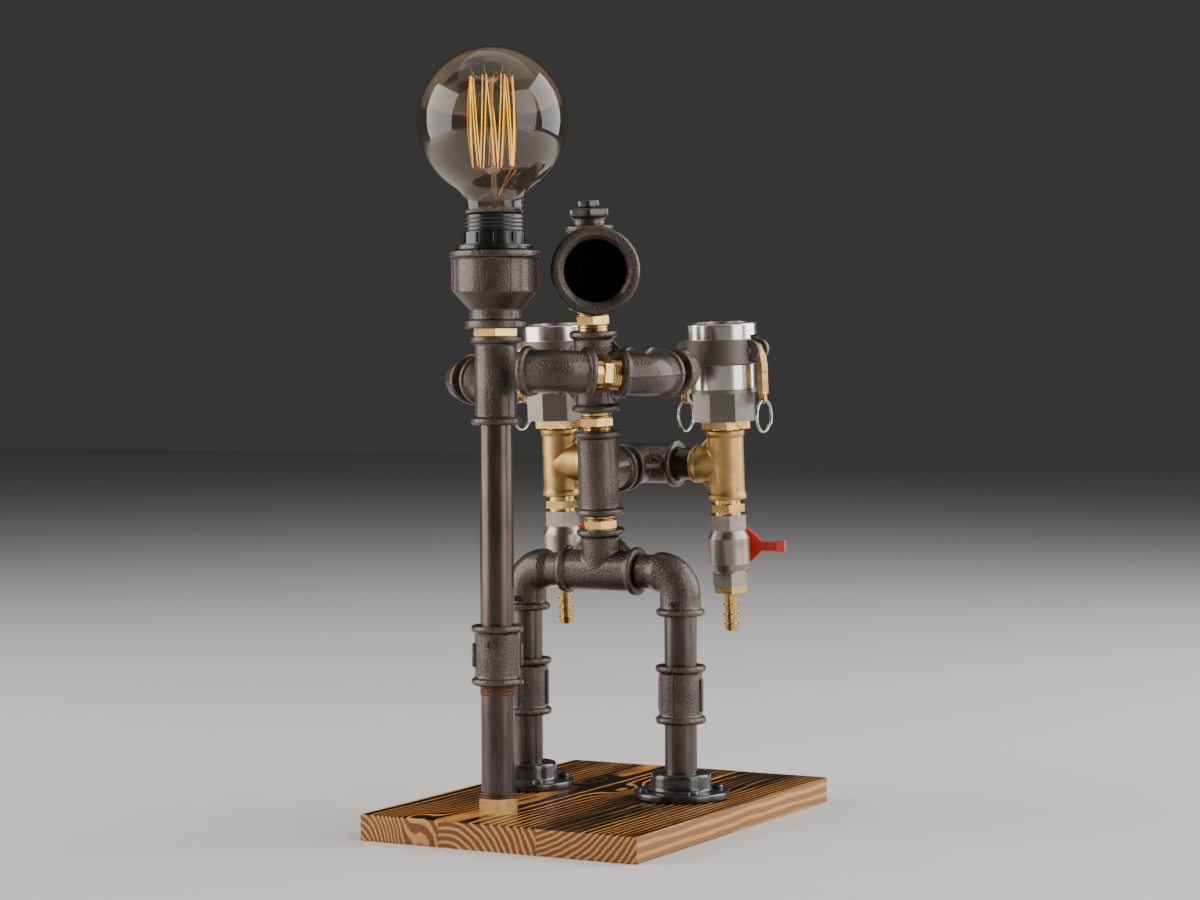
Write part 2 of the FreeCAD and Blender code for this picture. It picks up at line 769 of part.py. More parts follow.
def floor_flange(label):
    body = new_body(label)
    top = size("flange_height")
    disc = size("flange_thickness")
    turn(body, [(ZERO, ZERO), ("flange_radius", ZERO), ("flange_radius", disc),
                (size("hub_radius") + 0.8, disc), ("hub_radius", top), (ZERO, top)])
    soften(body, ["hub_radius"], "bead_round")
    soften(body, ["flange_radius"], 0.8)
    holes = new_sketch(body, "XY_Plane", offset=disc)
    for number in range(FLANGE_SCREWS):
        angle = math.radians(360 / FLANGE_SCREWS * (number + 0.5))
        radius = size("flange_screw_circle_radius")
        draw_circle(holes, size("screw_radius") + 0.3, radius * math.cos(angle),
                    radius * math.sin(angle))
    extrude(body, holes, disc + STRETCH, cut=True)
    drill(body, PIPE_FIT, -STRETCH, top + STRETCH)
    return body


def pan_screw(label):
    """A pan-head wood screw with a cross recess, the underside of its head at Z zero."""
    body = new_body(label)
    head = size("screw_head_radius")
    tall = size("screw_head_height")
    thread = size("screw_radius")
    length = -size("screw_length")
    turn(body, [(ZERO, length), (thread, length + 3), (thread, ZERO), (head, ZERO),
                (head, tall * 0.45), (head * 0.8, tall * 0.85), (head * 0.4, tall), (ZERO, tall)])
    for long_side, short_side in ((head * 0.55, head * 0.16), (head * 0.16, head * 0.55)):
        sketch = new_sketch(body, "XY_Plane", offset=tall)
        draw_outline(sketch, [(-long_side, -short_side), (long_side, -short_side),
                              (long_side, short_side), (-long_side, short_side)])
        extrude(body, sketch, tall * 0.5, cut=True)
    return body


flange_places = [under_column * frame(LEG_SHIFT.number * side) for side in (1, -1)]
keep("floor_flanges", in_turn(floor_flange, "floor_flange", 2), flange_places)
screw_places = [frame(across.number, back.number, mm("board_thickness") + mm("flange_thickness"))
                for across, back in SCREW_SPOTS]
keep("flange_screws", in_turn(pan_screw, "flange_screw", len(screw_places)), screw_places)

shin_end = size("flange_height") + "shin_visible"
thigh_start = shin_end + "coupling_length"
leg_pipes = []
for number in (1, 2):
    leg_pipes.append(tube("shin_%d" % number, size("flange_height") - "engagement",
                          shin_end + "engagement"))
for number in (1, 2):
    leg_pipes.append(tube("thigh_%d" % number, thigh_start - "engagement",
                          thigh_start + "thigh_visible" + "engagement"))
keep("leg_pipes", leg_pipes, flange_places * 2)
keep("knee_sockets", in_turn(coupling, "knee_socket", 2),
     [place * frame(z=shin_end.number) for place in flange_places])
male_end = LEG_SHIFT - "tee_reach" + "engagement"
neck_end = LEG_SHIFT - "tee_reach" - 1.2
keep("hip_elbows", in_turn(street_elbow, "hip_elbow", 2, neck_end, male_end),
     [under_column * frame(LEG_SHIFT.number * side, 0, HIP.number, facing(V(-side, 0, 0), UP))
      for side in (1, -1)])


# ---------------------------------------------------------------- column and head

TORSO_UP = torso.Rotation.multVec(UP)
keep("hip_tee", [branch_fitting("hip_tee_casting", "tee_reach", "tee_reach", [90])],
     [frame(torso.Base.x, torso.Base.y, torso.Base.z, facing(TORSO_UP, V(1, 0, 0)))])
keep("torso_tee", [branch_fitting("torso_tee_casting", "tee_reach", "tee_reach", [90])],
     [torso * frame(z=CHEST_TEE.number, rotation=facing(V(0, 1, 0), UP))])
keep("shoulder_cross",
     [branch_fitting("shoulder_cross_casting", "cross_reach", "cross_reach", [90, -90])],
     [shoulders])
face_way = math.radians(mm("face_turn"))
head = torso * frame(z=HEAD.number, rotation=facing(V(math.sin(face_way), -math.cos(face_way), 0), UP))
keep("head_tee", [branch_fitting("head_tee_casting", "tee_reach", "tee_reach", [90])], [head])

face_rotation = head.Rotation * facing(V(0, 0, 1), V(1, 0, 0))
face = FreeCAD.Placement(head.multVec(V(mm("tee_reach"), 0, 0)), face_rotation)
keep("column_nipples",
     [hex_nipple("waist_nipple", "waist_collar_below", "waist_collar_above"),
      hex_nipple("chest_nipple", "chest_collar_below", "chest_collar_above"),
      hex_nipple("neck_nipple", "neck_collar_below", "neck_collar_above"),
      tube("face_nipple", -size("engagement"), size("face_gap") + "engagement")],
     [torso * frame(z=mm("tee_reach")),
      torso * frame(z=(CHEST_TEE + "tee_reach").number),
      torso * frame(z=(SHOULDERS + "cross_reach").number),
      face])


def face_socket(label):
    """The reducing socket that is the figure's face: a wide round mouth."""
    body = new_body(label)
    length = size("face_length")
    bead = size("bead_width")
    lip = length - "face_bead_width"
    turn(body, [(ZERO, ZERO), ("bead_radius", ZERO), ("bead_radius", bead),
                ("fitting_radius", bead), ("fitting_radius", size("socket_depth")),
                ("face_body_radius", lip - "face_barrel_length"), ("face_body_radius", lip),
                ("face_bead_radius", lip), ("face_bead_radius", length), (ZERO, length)])
    soften(body, ["face_bead_radius"], 2.2)
    soften(body, ["bead_radius"], "bead_round")
    floor = length - "face_bore_depth"
    turn(body, [(ZERO, -STRETCH), (PIPE_FIT, -STRETCH), (PIPE_FIT, "socket_depth"),
                ("pipe_bore_radius", "socket_depth"), ("pipe_bore_radius", floor),
                ("face_bore_radius", floor), ("face_bore_radius", length - 3),
                ("face_mouth_radius", length + 0.01), ("face_mouth_radius", length + STRETCH),
                (ZERO, length + STRETCH)], cut=True)
    return body


keep("face_socket", [face_socket("face_socket_casting")],
     [face * frame(z=mm("face_gap"))])


def crown_bushing(label):
    body = new_body(label)
    low = -size("engagement")
    seat = size("crown_thread_visible")
    top = seat + "crown_hex_height"
    turn(body, [(ZERO, low), ("pipe_radius", low), ("pipe_radius", seat + OVERLAP),
                (ZERO, seat + OVERLAP)])
    spanner_prism(body, "crown_hex_flats", seat, top)
    drill(body, size("crown_plug_radius") + "thread_clearance", low - STRETCH, top + STRETCH)
    return body


def crown_plug(label):
    body = new_body(label)
    low = -size("engagement")
    turn(body, [(ZERO, low), ("crown_plug_radius", low), ("crown_plug_radius", ZERO),
                (ZERO, ZERO)])
    spanner_prism(body, "crown_plug_flats", ZERO, "crown_plug_height")
    return body


crown = torso * frame(z=(HEAD + "tee_reach").number)
crown_top = size("crown_thread_visible") + "crown_hex_height"
keep("crown_bushing", [crown_bushing("crown_bushing_hexagon")], [crown])
keep("crown_plug", [crown_plug("crown_plug_hexagon")], [crown * frame(z=crown_top.number)])


# ---------------------------------------------------------------- arms

def joint_tube(label, visible):
    """A black nipple between two fittings, its first bare end at Z zero."""
    return tube(label, -size("engagement"), size(visible) + "engagement")


def spot(point, x_dir, z_dir):
    return FreeCAD.Placement(point, facing(x_dir, z_dir))


keep("shoulder_elbows", [elbow("left_shoulder_elbow", 90, "elbow_reach"),
                         elbow("right_shoulder_elbow", 90, "elbow_reach")],
     [spot(left_shoulder, LEFT_DOWN, SIDEWAYS), spot(right_shoulder, REACH_DOWN, SIDEWAYS * -1)])
keep("arm_nipples", [joint_tube("left_shoulder_nipple", "left_shoulder_visible"),
                     joint_tube("right_shoulder_nipple", "right_shoulder_visible"),
                     joint_tube("left_forearm_nipple", "left_forearm_visible"),
                     joint_tube("right_forearm_nipple", "right_forearm_visible")],
     [spot(shoulders.Base + SIDEWAYS * mm("cross_reach"), FORWARD, SIDEWAYS),
      spot(shoulders.Base - SIDEWAYS * mm("cross_reach"), FORWARD, SIDEWAYS * -1),
      spot(left_shoulder + LEFT_DOWN * mm("elbow_reach"), SIDEWAYS, LEFT_DOWN),
      spot(right_shoulder + REACH_DOWN * mm("elbow_reach"), SIDEWAYS, REACH_DOWN)])
keep("forearm_elbows", [elbow("left_forearm_casting", 45, "shallow_elbow_reach"),
                        elbow("right_forearm_casting", 45, "shallow_elbow_reach")],
     [spot(left_forearm, LEFT_INWARD, LEFT_DOWN), spot(right_forearm, inward, REACH_DOWN)])
keep("left_hand_elbow", [elbow("left_hand_casting", 45, "shallow_elbow_reach")],
     [spot(left_hand, SIDEWAYS * -1, left_wrist_way)])


def wrist_nipple(label, visible):
    spare = (size(visible) - "nipple_hex_height") / 2
    return hex_nipple(label, spare, spare)


keep("wrist_nipples", [wrist_nipple("left_wrist_nipple", "left_wrist_visible"),
                       wrist_nipple("right_wrist_nipple", "right_wrist_visible")],
     [spot(left_forearm + left_wrist_way * mm("shallow_elbow_reach"), UP, left_wrist_way),
      spot(right_forearm + right_wrist_way * mm("shallow_elbow_reach"), UP, right_wrist_way)])


# ---------------------------------------------------------------- pole

def pole_foot(label):
    """The brass foot: a hexagon, a collar round the pipe and a tapped hole for the bolt."""
    body = new_body(label)
    tall = size("foot_hex_height")
    top = tall + "foot_collar_height"
    turn(body, [(ZERO, ZERO), ("foot_collar_radius", ZERO), ("foot_collar_radius", top),
                (ZERO, top)])
    spanner_prism(body, "foot_hex_flats", ZERO, tall)
    seat = size("foot_bolt_sink")
    bolt = size("foot_bolt_radius") + "thread_clearance"
    turn(body, [(ZERO, -STRETCH), (bolt, -STRETCH), (bolt, seat), (PIPE_FIT, seat),
                (PIPE_FIT, top + STRETCH), (ZERO, top + STRETCH)], cut=True)
    return body


def foot_bolt(label):
    """A socket-head bolt from below the board into the foot, its head's seat at Z zero."""
    body = new_body(label)
    deep = -size("foot_bolt_head_height")
    top = size("board_thickness")
    turn(body, [(ZERO, deep), ("foot_bolt_head_radius", deep), ("foot_bolt_head_radius", ZERO),
                ("foot_bolt_radius", ZERO), ("foot_bolt_radius", top), (ZERO, top)])
    sketch = new_sketch(body, "XY_Plane", offset=deep)
    draw_polygon(sketch, size("foot_bolt_radius") * 1.5, 6)
    extrude(body, sketch, size("foot_bolt_head_height") * 0.6, cut=True, back=True)
    return body


seat = size("foot_bolt_sink")
collar_top = size("foot_hex_height") + "foot_collar_height"
pole_socket_low = collar_top + "pole_lower_visible"
pole_upper_low = pole_socket_low + "coupling_length"
pole_top = POLE_TEE + "tee_reach"
keep("pole_foot", [pole_foot("pole_foot_hexagon")], [pole])
keep("foot_bolt", [foot_bolt("foot_bolt_screw")],
     [frame(pole.Base.x, pole.Base.y, mm("foot_bolt_sink"))])
keep("pole_lower_pipe", [tube("pole_lower_tube", seat, pole_socket_low + "engagement")], [pole])
keep("pole_socket", [coupling("pole_socket_casting")], [pole * frame(z=pole_socket_low.number)])
keep("pole_upper_pipe", [tube("pole_upper_tube", pole_upper_low - "engagement",
                              pole_upper_low + "pole_upper_visible" + "engagement")], [pole])
keep("pole_tee", [branch_fitting("pole_tee_casting", "tee_reach", "tee_reach", [90])],
     [spot(pole_tee_spot, right_wrist_way * -1, UP)])


def reducing_nipple(label):
    """The brass hexagon on the pole: a half-inch end below and a three-quarter end above."""
    body = new_body(label)
    low = -size("engagement")
    hexagon = size("pole_hex_height")
    end = hexagon + "engagement"
    turn(body, [(ZERO, low), ("pipe_radius", low), ("pipe_radius", hexagon / 2),
                ("three_quarter_radius", hexagon / 2), ("three_quarter_radius", end),
                (ZERO, end)])
    spanner_prism(body, "pole_hex_flats", ZERO, hexagon)
    drill(body, "pipe_bore_radius", low - STRETCH, end + STRETCH)
    return body


def lamp_reducer(label):
    """The reducing socket under the bulb, a beaded cup on a beaded foot."""
    body = new_body(label)
    foot = size("lamp_foot_height")
    neck = foot + "lamp_neck_height"
    cone = neck + "lamp_cone_height"
    barrel = cone + "lamp_body_height"
    top = barrel + "lamp_bead_width"
    bead = size("lamp_body_radius") + "lamp_bead_step"
    turn(body, [(ZERO, ZERO), ("lamp_foot_radius", ZERO), ("lamp_foot_radius", foot),
                ("lamp_neck_radius", foot), ("lamp_neck_radius", neck),
                ("lamp_body_radius", cone), ("lamp_body_radius", barrel),
                (bead, barrel), (bead, top), (ZERO, top)])
    soften(body, [bead], 0.9)
    soften(body, ["lamp_foot_radius"], 0.9)
    for tilt_sign in (1, -1):
        near = size("lamp_body_radius") - OVERLAP
        outer = size("lamp_body_radius") + 1.6
        sketch = new_sketch(body, "XZ_Plane")
        outline = [(near, cone), (outer, cone + 1.6), (outer, barrel), (near, barrel)]
        draw_outline(sketch, [(across * tilt_sign, tall) for across, tall in outline])
        extrude(body, sketch, size("web_thickness") * 1.6, middle=True)
    fit = size("three_quarter_radius") + "thread_clearance"
    floor = size("socket_depth")
    cup = cone + 1.0
    turn(body, [(ZERO, -STRETCH), (fit, -STRETCH), (fit, floor), ("pipe_bore_radius", floor),
                ("pipe_bore_radius", neck + 2), ("lamp_bore_radius", cup),
                ("lamp_bore_radius", top + STRETCH), (ZERO, top + STRETCH)], cut=True)
    return body


reducer_low = pole_top + "pole_hex_height"
reducer_top = (reducer_low + "lamp_foot_height" + "lamp_neck_height" + "lamp_cone_height"
               + "lamp_body_height" + "lamp_bead_width")
keep("pole_top_nipple", [reducing_nipple("pole_top_hexagon")], [pole * frame(z=pole_top.number)])
keep("lamp_reducer", [lamp_reducer("lamp_reducer_casting")], [pole * frame(z=reducer_low.number)])


# ---------------------------------------------------------------- lamp holder and bulb

def holder_ring(label):
    """The shade ring and its slotted collar, its lower face on the reducer's rim."""
    body = new_body(label)
    disc = size("shade_ring_height")
    top = disc + "shade_collar_height"
    turn(body, [(ZERO, ZERO), ("shade_ring_radius", ZERO), ("shade_ring_radius", disc),
                ("shade_collar_radius", disc), ("shade_collar_radius", top), (ZERO, top)])
    soften(body, ["shade_ring_radius"], 1.0)
    notches = new_sketch(body, "XY_Plane", offset=top)
    slots = 12
    for number in range(slots):
        angle = 2 * math.pi * number / slots
        radius = size("shade_collar_radius") + 0.3
        draw_circle(notches, 1.5, radius * math.cos(angle), radius * math.sin(angle))
    extrude(body, notches, size("shade_collar_height") - 1.0, cut=True)
    drill(body, size("holder_radius") + "thread_clearance", -STRETCH, top + STRETCH)
    return body


HOLDER_LOW = -size("holder_below_rim")
HOLDER_RIM = size("shade_ring_height") + "shade_collar_height" + "holder_above_collar"


def holder_shell(label):
    """The moulded holder: a cup that hangs in the reducer and takes the bulb."""
    body = new_body(label)
    low = HOLDER_LOW
    rim = HOLDER_RIM
    turn(body, [(ZERO, low), ("holder_radius", low), ("holder_radius", rim), (ZERO, rim)])
    soften(body, ["holder_radius"], 0.8)
    drill(body, "holder_bore_radius", low + "holder_floor", rim + STRETCH)
    drill(body, "cap_tip_radius", low - STRETCH, low + "holder_floor" + STRETCH)
    return body


def holder_core(label):
    """The ceramic insert with the centre contact."""
    body = new_body(label)
    width = size("holder_bore_radius") - 0.15
    tall = size("core_height")
    turn(body, [(ZERO, ZERO), (width, ZERO), (width, tall - 2.0), ("cap_tip_radius", tall - 2.0),
                ("cap_tip_radius", tall), (ZERO, tall)])
    return body


lamp = pole * frame(z=reducer_top.number)
keep("lampholder_ring", [holder_ring("lampholder_ring_moulding")], [lamp])
keep("lampholder_shell", [holder_shell("lampholder_shell_moulding")], [lamp])
core_low = HOLDER_LOW + "holder_floor"
keep("lampholder_core", [holder_core("lampholder_core_ceramic")], [lamp * frame(z=core_low.number)])


def bulb_cap(label):
    """The screw cap with its insulated centre contact, from the contact up."""
    body = new_body(label)
    tip = size("cap_tip_height")
    top = tip + "cap_height"
    crest = size("cap_radius")
    root = crest - 0.5
    pitch = 3.4
    profile = [(ZERO, ZERO), (size("cap_tip_radius") - 1.5, ZERO), ("cap_tip_radius", tip)]
    profile.append((root, tip + 0.8))
    turns = 5
    for number in range(turns):
        low = tip + 0.8 + pitch * number
        profile.append((crest, low + pitch * 0.5))
        profile.append((root, low + pitch))
    profile += [(root, top), (ZERO, top)]
    turn(body, profile)
    drill(body, root - "cap_wall", tip + 2.0, top + STRETCH)
    return body


cap_low = HOLDER_LOW + "holder_floor" + "core_height"
keep("bulb_cap", [bulb_cap("bulb_cap_shell")], [lamp * frame(z=cap_low.number)])
bulb = lamp * frame(z=HOLDER_RIM.number)
cap_rim = HOLDER_RIM - cap_low - "cap_tip_height" - "cap_height"


def revolved_spline(points, foot):
    """A solid turned about Z: a smooth curve from the neck over the crown, closed at the foot."""
    curve = Part.BSplineCurve()
    curve.interpolate(points)
    edges = [curve.toShape()]
    foot_edge = V(points[0].x, 0, foot)
    edges.append(Part.LineSegment(points[-1], V(0, 0, foot)).toShape())
    edges.append(Part.LineSegment(V(0, 0, foot), foot_edge).toShape())
    edges.append(Part.LineSegment(foot_edge, points[0]).toShape())
    return Part.Face(Part.Wire(edges)).revolve(V(), UP, 360)


def globe_points(inset):
    """Points up the bulb's outline, each moved inwards by the inset."""
    globe = mm("globe_radius") - inset
    centre = mm("globe_rise")
    neck = mm("globe_neck_radius") - inset
    blend = mm("globe_neck_blend")
    points = [V(neck, 0, 3.0), V(neck + 0.3, 0, blend * 0.35)]
    for degrees in (-42, -22, 0, 22, 45, 68, 82, 90):
        angle = math.radians(degrees)
        points.append(V(globe * math.cos(angle), 0, centre + globe * math.sin(angle)))
    points[-1].x = 0
    return points


def bulb_glass():
    """The blown glass: globe and neck, with a narrow foot that sits in the cap."""
    wall = mm("glass_wall")
    foot = mm("cap_radius") - 0.5 - mm("cap_wall") - 0.1
    tail = 12.0
    outer = revolved_spline(globe_points(0), 0.6)
    outer = outer.fuse(Part.makeCylinder(foot, tail + 1.2, V(0, 0, -tail)))
    inner = revolved_spline(globe_points(wall), 0.6 + wall)
    inner = inner.fuse(Part.makeCylinder(foot - wall, tail + 4, V(0, 0, -tail - 1)))
    return outer.cut(inner).removeSplitter()


def plain_feature(label, shape):
    feature = doc.addObject("Part::Feature", label)
    feature.Shape = shape
    return feature


def rod(start, end, radius):
    way = V(end) - V(start)
    return Part.makeCylinder(radius, way.Length, V(start), way)


def cage_points(number):
    """Low and high ends of one pair of strands round the filament cage."""
    step = 2 * math.pi / (FILAMENT_LOOPS * 2)
    low_turn = step * 2 * number
    high_turn = low_turn + step
    low_radius = mm("filament_low_radius")
    high_radius = mm("filament_high_radius")
    low = V(low_radius * math.cos(low_turn), low_radius * math.sin(low_turn), mm("filament_low"))
    high = V(high_radius * math.cos(high_turn), high_radius * math.sin(high_turn),
             mm("filament_high"))
    return low, high


def filament():
    """One wire that runs up and down round the cage, left open at its ends."""
    wire = mm("filament_radius")
    ends = []
    for number in range(FILAMENT_LOOPS):
        ends += list(cage_points(number))
    parts = [Part.makeSphere(wire, point) for point in ends]
    parts += [rod(first, second, wire) for first, second in zip(ends, ends[1:])]
    return parts[0].multiFuse(parts[1:]).removeSplitter()


def bulb_stem():
    """The glass stem: a flare in the neck, a rod up the middle and the wires' hooks."""
    rod_radius = mm("stem_rod_radius")
    high = mm("stem_rod_top")
    wide = mm("stem_radius")
    flare = mm("stem_flare_height")
    foot = -12.0
    parts = [Part.makeCone(wide, rod_radius * 1.6, flare, V(0, 0, 1.5)),
             Part.makeCylinder(wide, 1.5 - foot, V(0, 0, foot)),
             Part.makeCylinder(rod_radius, high, V(0, 0, 0)),
             Part.makeSphere(rod_radius * 1.5, V(0, 0, high))]
    base = mm("cap_radius") - 0.5 - mm("cap_wall") * 2 - mm("glass_wall")
    parts.append(Part.makeCylinder(base, 2.0, V(0, 0, foot)))
    gap = mm("filament_radius") + 0.02
    thin = mm("filament_radius") * 0.8
    for number in range(FILAMENT_LOOPS):
        for point in cage_points(number):
            inside = V(point.x, point.y, 0)
            out = inside.Length
            inside.normalize()
            tip = inside * (out - gap)
            parts.append(rod(V(0, 0, point.z), V(tip.x, tip.y, point.z), thin))
    return parts[0].multiFuse(parts[1:]).removeSplitter()


keep("bulb_glass", [plain_feature("bulb_glass_globe", bulb_glass())], [bulb])
keep("bulb_filament", [plain_feature("bulb_filament_wire", filament())], [bulb])
keep("bulb_stem", [plain_feature("bulb_stem_glass", bulb_stem())], [bulb])


# ---------------------------------------------------------------- dispensers

BACK = size("tee_reach") * 2 + "back_gap"
SPREAD = size("tee_reach") + "crossbar_gap" + "brass_reach"
back = torso * frame(y=BACK.number, z=CHEST_TEE.number)
racks = [back * frame(x=SPREAD.number * side) for side in (1, -1)]


def crossbar_nipple(label):
    """A nipple that steps from the iron thread to the slimmer brass one."""
    body = new_body(label)
    low = -size("engagement")
    gap = size("crossbar_gap")
    turn(body, [("pipe_bore_radius", low), ("pipe_radius", low), ("pipe_radius", gap - 0.4),
                ("small_thread_radius", gap - 0.4), ("small_thread_radius", gap + "engagement"),
                ("pipe_bore_radius", gap + "engagement")])
    return body


keep("back_tee", [branch_fitting("back_tee_casting", "tee_reach", "tee_reach", [90])],
     [back * frame(rotation=facing(V(0, -1, 0), V(1, 0, 0)))])
keep("back_nipples",
     [joint_tube("spine_nipple", "back_gap"), crossbar_nipple("left_crossbar_nipple"),
      crossbar_nipple("right_crossbar_nipple")],
     [torso * frame(y=mm("tee_reach"), z=CHEST_TEE.number, rotation=facing(V(1, 0, 0), V(0, 1, 0))),
      back * frame(x=mm("tee_reach"), rotation=facing(V(0, 1, 0), V(1, 0, 0))),
      back * frame(x=-mm("tee_reach"), rotation=facing(V(0, 1, 0), V(-1, 0, 0)))])


def brass_tee(label):
    return branch_fitting(label, "brass_reach", "brass_reach", [90], BRASS)


keep("dispenser_tees", in_turn(brass_tee, "dispenser_tee", 2),
     [rack * frame(rotation=facing(V(-side, 0, 0), UP)) for rack, side in zip(racks, (1, -1))])

COUPLER_THREAD = size("three_quarter_radius") + "thread_clearance"
COUPLER_TOP = (size("coupler_octagon_height") + "coupler_barrel_height"
               + "coupler_cup_height" + "coupler_rim_height")
PIN_HEIGHT = COUPLER_TOP - "pivot_drop"
SLOT_WIDTH = size("lever_width") + size("lever_side_gap") * 2


def coupler_bushing(label):
    """The brass hexagon under a coupler, its lower bare thread starting at Z zero."""
    body = new_body(label)
    low = -size("engagement")
    hex_low = size("bushing_gap")
    hex_high = hex_low + "bushing_hex_height"
    end = hex_high + "engagement"
    turn(body, [(ZERO, low), ("small_thread_radius", low), ("small_thread_radius", hex_low + 1),
                ("three_quarter_radius", hex_low + 1), ("three_quarter_radius", end), (ZERO, end)])
    spanner_prism(body, "bushing_hex_flats", hex_low, hex_high)
    drill(body, "pipe_bore_radius", low - STRETCH, end + STRETCH)
    return body


def coupler(label):
    """A cam-lever coupler body: spanner octagon, barrel, cast cup with ears, polished rim."""
    body = new_body(label)
    low = size("coupler_octagon_height")
    barrel = low + "coupler_barrel_height"
    cup = barrel + "coupler_cup_height"
    top = COUPLER_TOP
    turn(body, [(ZERO, low - 3), ("coupler_barrel_radius", low - 3),
                ("coupler_barrel_radius", barrel), ("coupler_cup_radius", barrel + 1.2),
                ("coupler_cup_radius", cup), ("coupler_rim_radius", cup),
                ("coupler_rim_radius", top), (ZERO, top)])
    spanner_prism(body, "coupler_octagon_flats", ZERO, low, 8)
    wide = SLOT_WIDTH + size("ear_thickness") * 2
    for side in (1, -1):
        pivot = size("pivot_radius") * side
        sketch = new_sketch(body, "XZ_Plane")
        draw_circle(sketch, "ear_radius", pivot, PIN_HEIGHT)
        extrude(body, sketch, wide, middle=True)
        sketch = new_sketch(body, "XZ_Plane")
        near = (size("coupler_cup_radius") - 4) * side
        reach = size("ear_radius")
        draw_outline(sketch, [(near, PIN_HEIGHT - reach), (pivot, PIN_HEIGHT - reach),
                              (pivot, PIN_HEIGHT + reach), (near, PIN_HEIGHT + reach)])
        extrude(body, sketch, wide, middle=True)
    rim_edges(body, top, 1.0)
    for side in (1, -1):
        near = (size("coupler_bore_radius") - 4) * side
        far = (size("pivot_radius") + "ear_radius" + 2) * side
        bottom = PIN_HEIGHT - "slot_below_pin"
        ceiling = PIN_HEIGHT + "slot_above_pin"
        sketch = new_sketch(body, "XZ_Plane")
        draw_outline(sketch, [(near, bottom), (far, bottom), (far, ceiling), (near, ceiling)])
        extrude(body, sketch, SLOT_WIDTH, cut=True, middle=True)
        sketch = new_sketch(body, "XZ_Plane")
        draw_circle(sketch, size("pin_radius") + "thread_clearance",
                    size("pivot_radius") * side, PIN_HEIGHT)
        extrude(body, sketch, wide + 2, cut=True, middle=True)
    floor = top - "coupler_bore_depth"
    socket = size("socket_depth")
    turn(body, [(ZERO, -STRETCH), (COUPLER_THREAD, -STRETCH), (COUPLER_THREAD, socket),
                ("pipe_bore_radius", socket), ("pipe_bore_radius", socket + 3),
                ("gasket_hole_radius", floor - 3), ("gasket_hole_radius", floor),
                ("coupler_bore_radius", floor), ("coupler_bore_radius", top + STRETCH),
                (ZERO, top + STRETCH)], cut=True)
    relief = size("coupler_bore_radius") + "relief_depth"
    groove = top - "coupler_land"
    inside = size("coupler_bore_radius") - OVERLAP
    turn(body, [(inside, groove - "relief_width"), (relief, groove - "relief_width"),
                (relief, groove), (inside, groove)], cut=True)
    return body


def gasket(label):
    body = new_body(label)
    wide = size("coupler_bore_radius") - "gasket_gap"
    turn(body, [("gasket_hole_radius", ZERO), (wide, ZERO), (wide, "gasket_height"),
                ("gasket_hole_radius", "gasket_height")])
    return body


def lever_pin(label):
    body = new_body(label)
    half = (SLOT_WIDTH / 2) + "ear_thickness"
    turn(body, [(ZERO, -half), ("pin_radius", -half), ("pin_radius", half), (ZERO, half)])
    return body


coupler_low = size("brass_reach") + "bushing_gap" + "bushing_hex_height"
couplers = [rack * frame(z=coupler_low.number) for rack in racks]
keep("coupler_bushings", in_turn(coupler_bushing, "coupler_bushing", 2),
     [rack * frame(z=mm("brass_reach")) for rack in racks])
keep("coupler_bodies", in_turn(coupler, "coupler_body", 2), couplers)
gasket_low = COUPLER_TOP - "coupler_bore_depth"
keep("coupler_gaskets", in_turn(gasket, "coupler_gasket", 2),
     [place * frame(z=gasket_low.number) for place in couplers])
hinges = {}
for name, place in zip(("left", "right"), couplers):
    own = 1 if name == "left" else -1
    for way, side in (("outer", own), ("inner", -own)):
        turned = FreeCAD.Rotation(UP, 0 if side > 0 else 180)
        hinges[name + "_" + way] = place * frame(side * mm("pivot_radius"), 0, PIN_HEIGHT.number,
                                                 turned)
keep("lever_pins", in_turn(lever_pin, "lever_pin", 4),
     [hinge * frame(rotation=facing(V(1, 0, 0), V(0, 1, 0))) for hinge in hinges.values()])


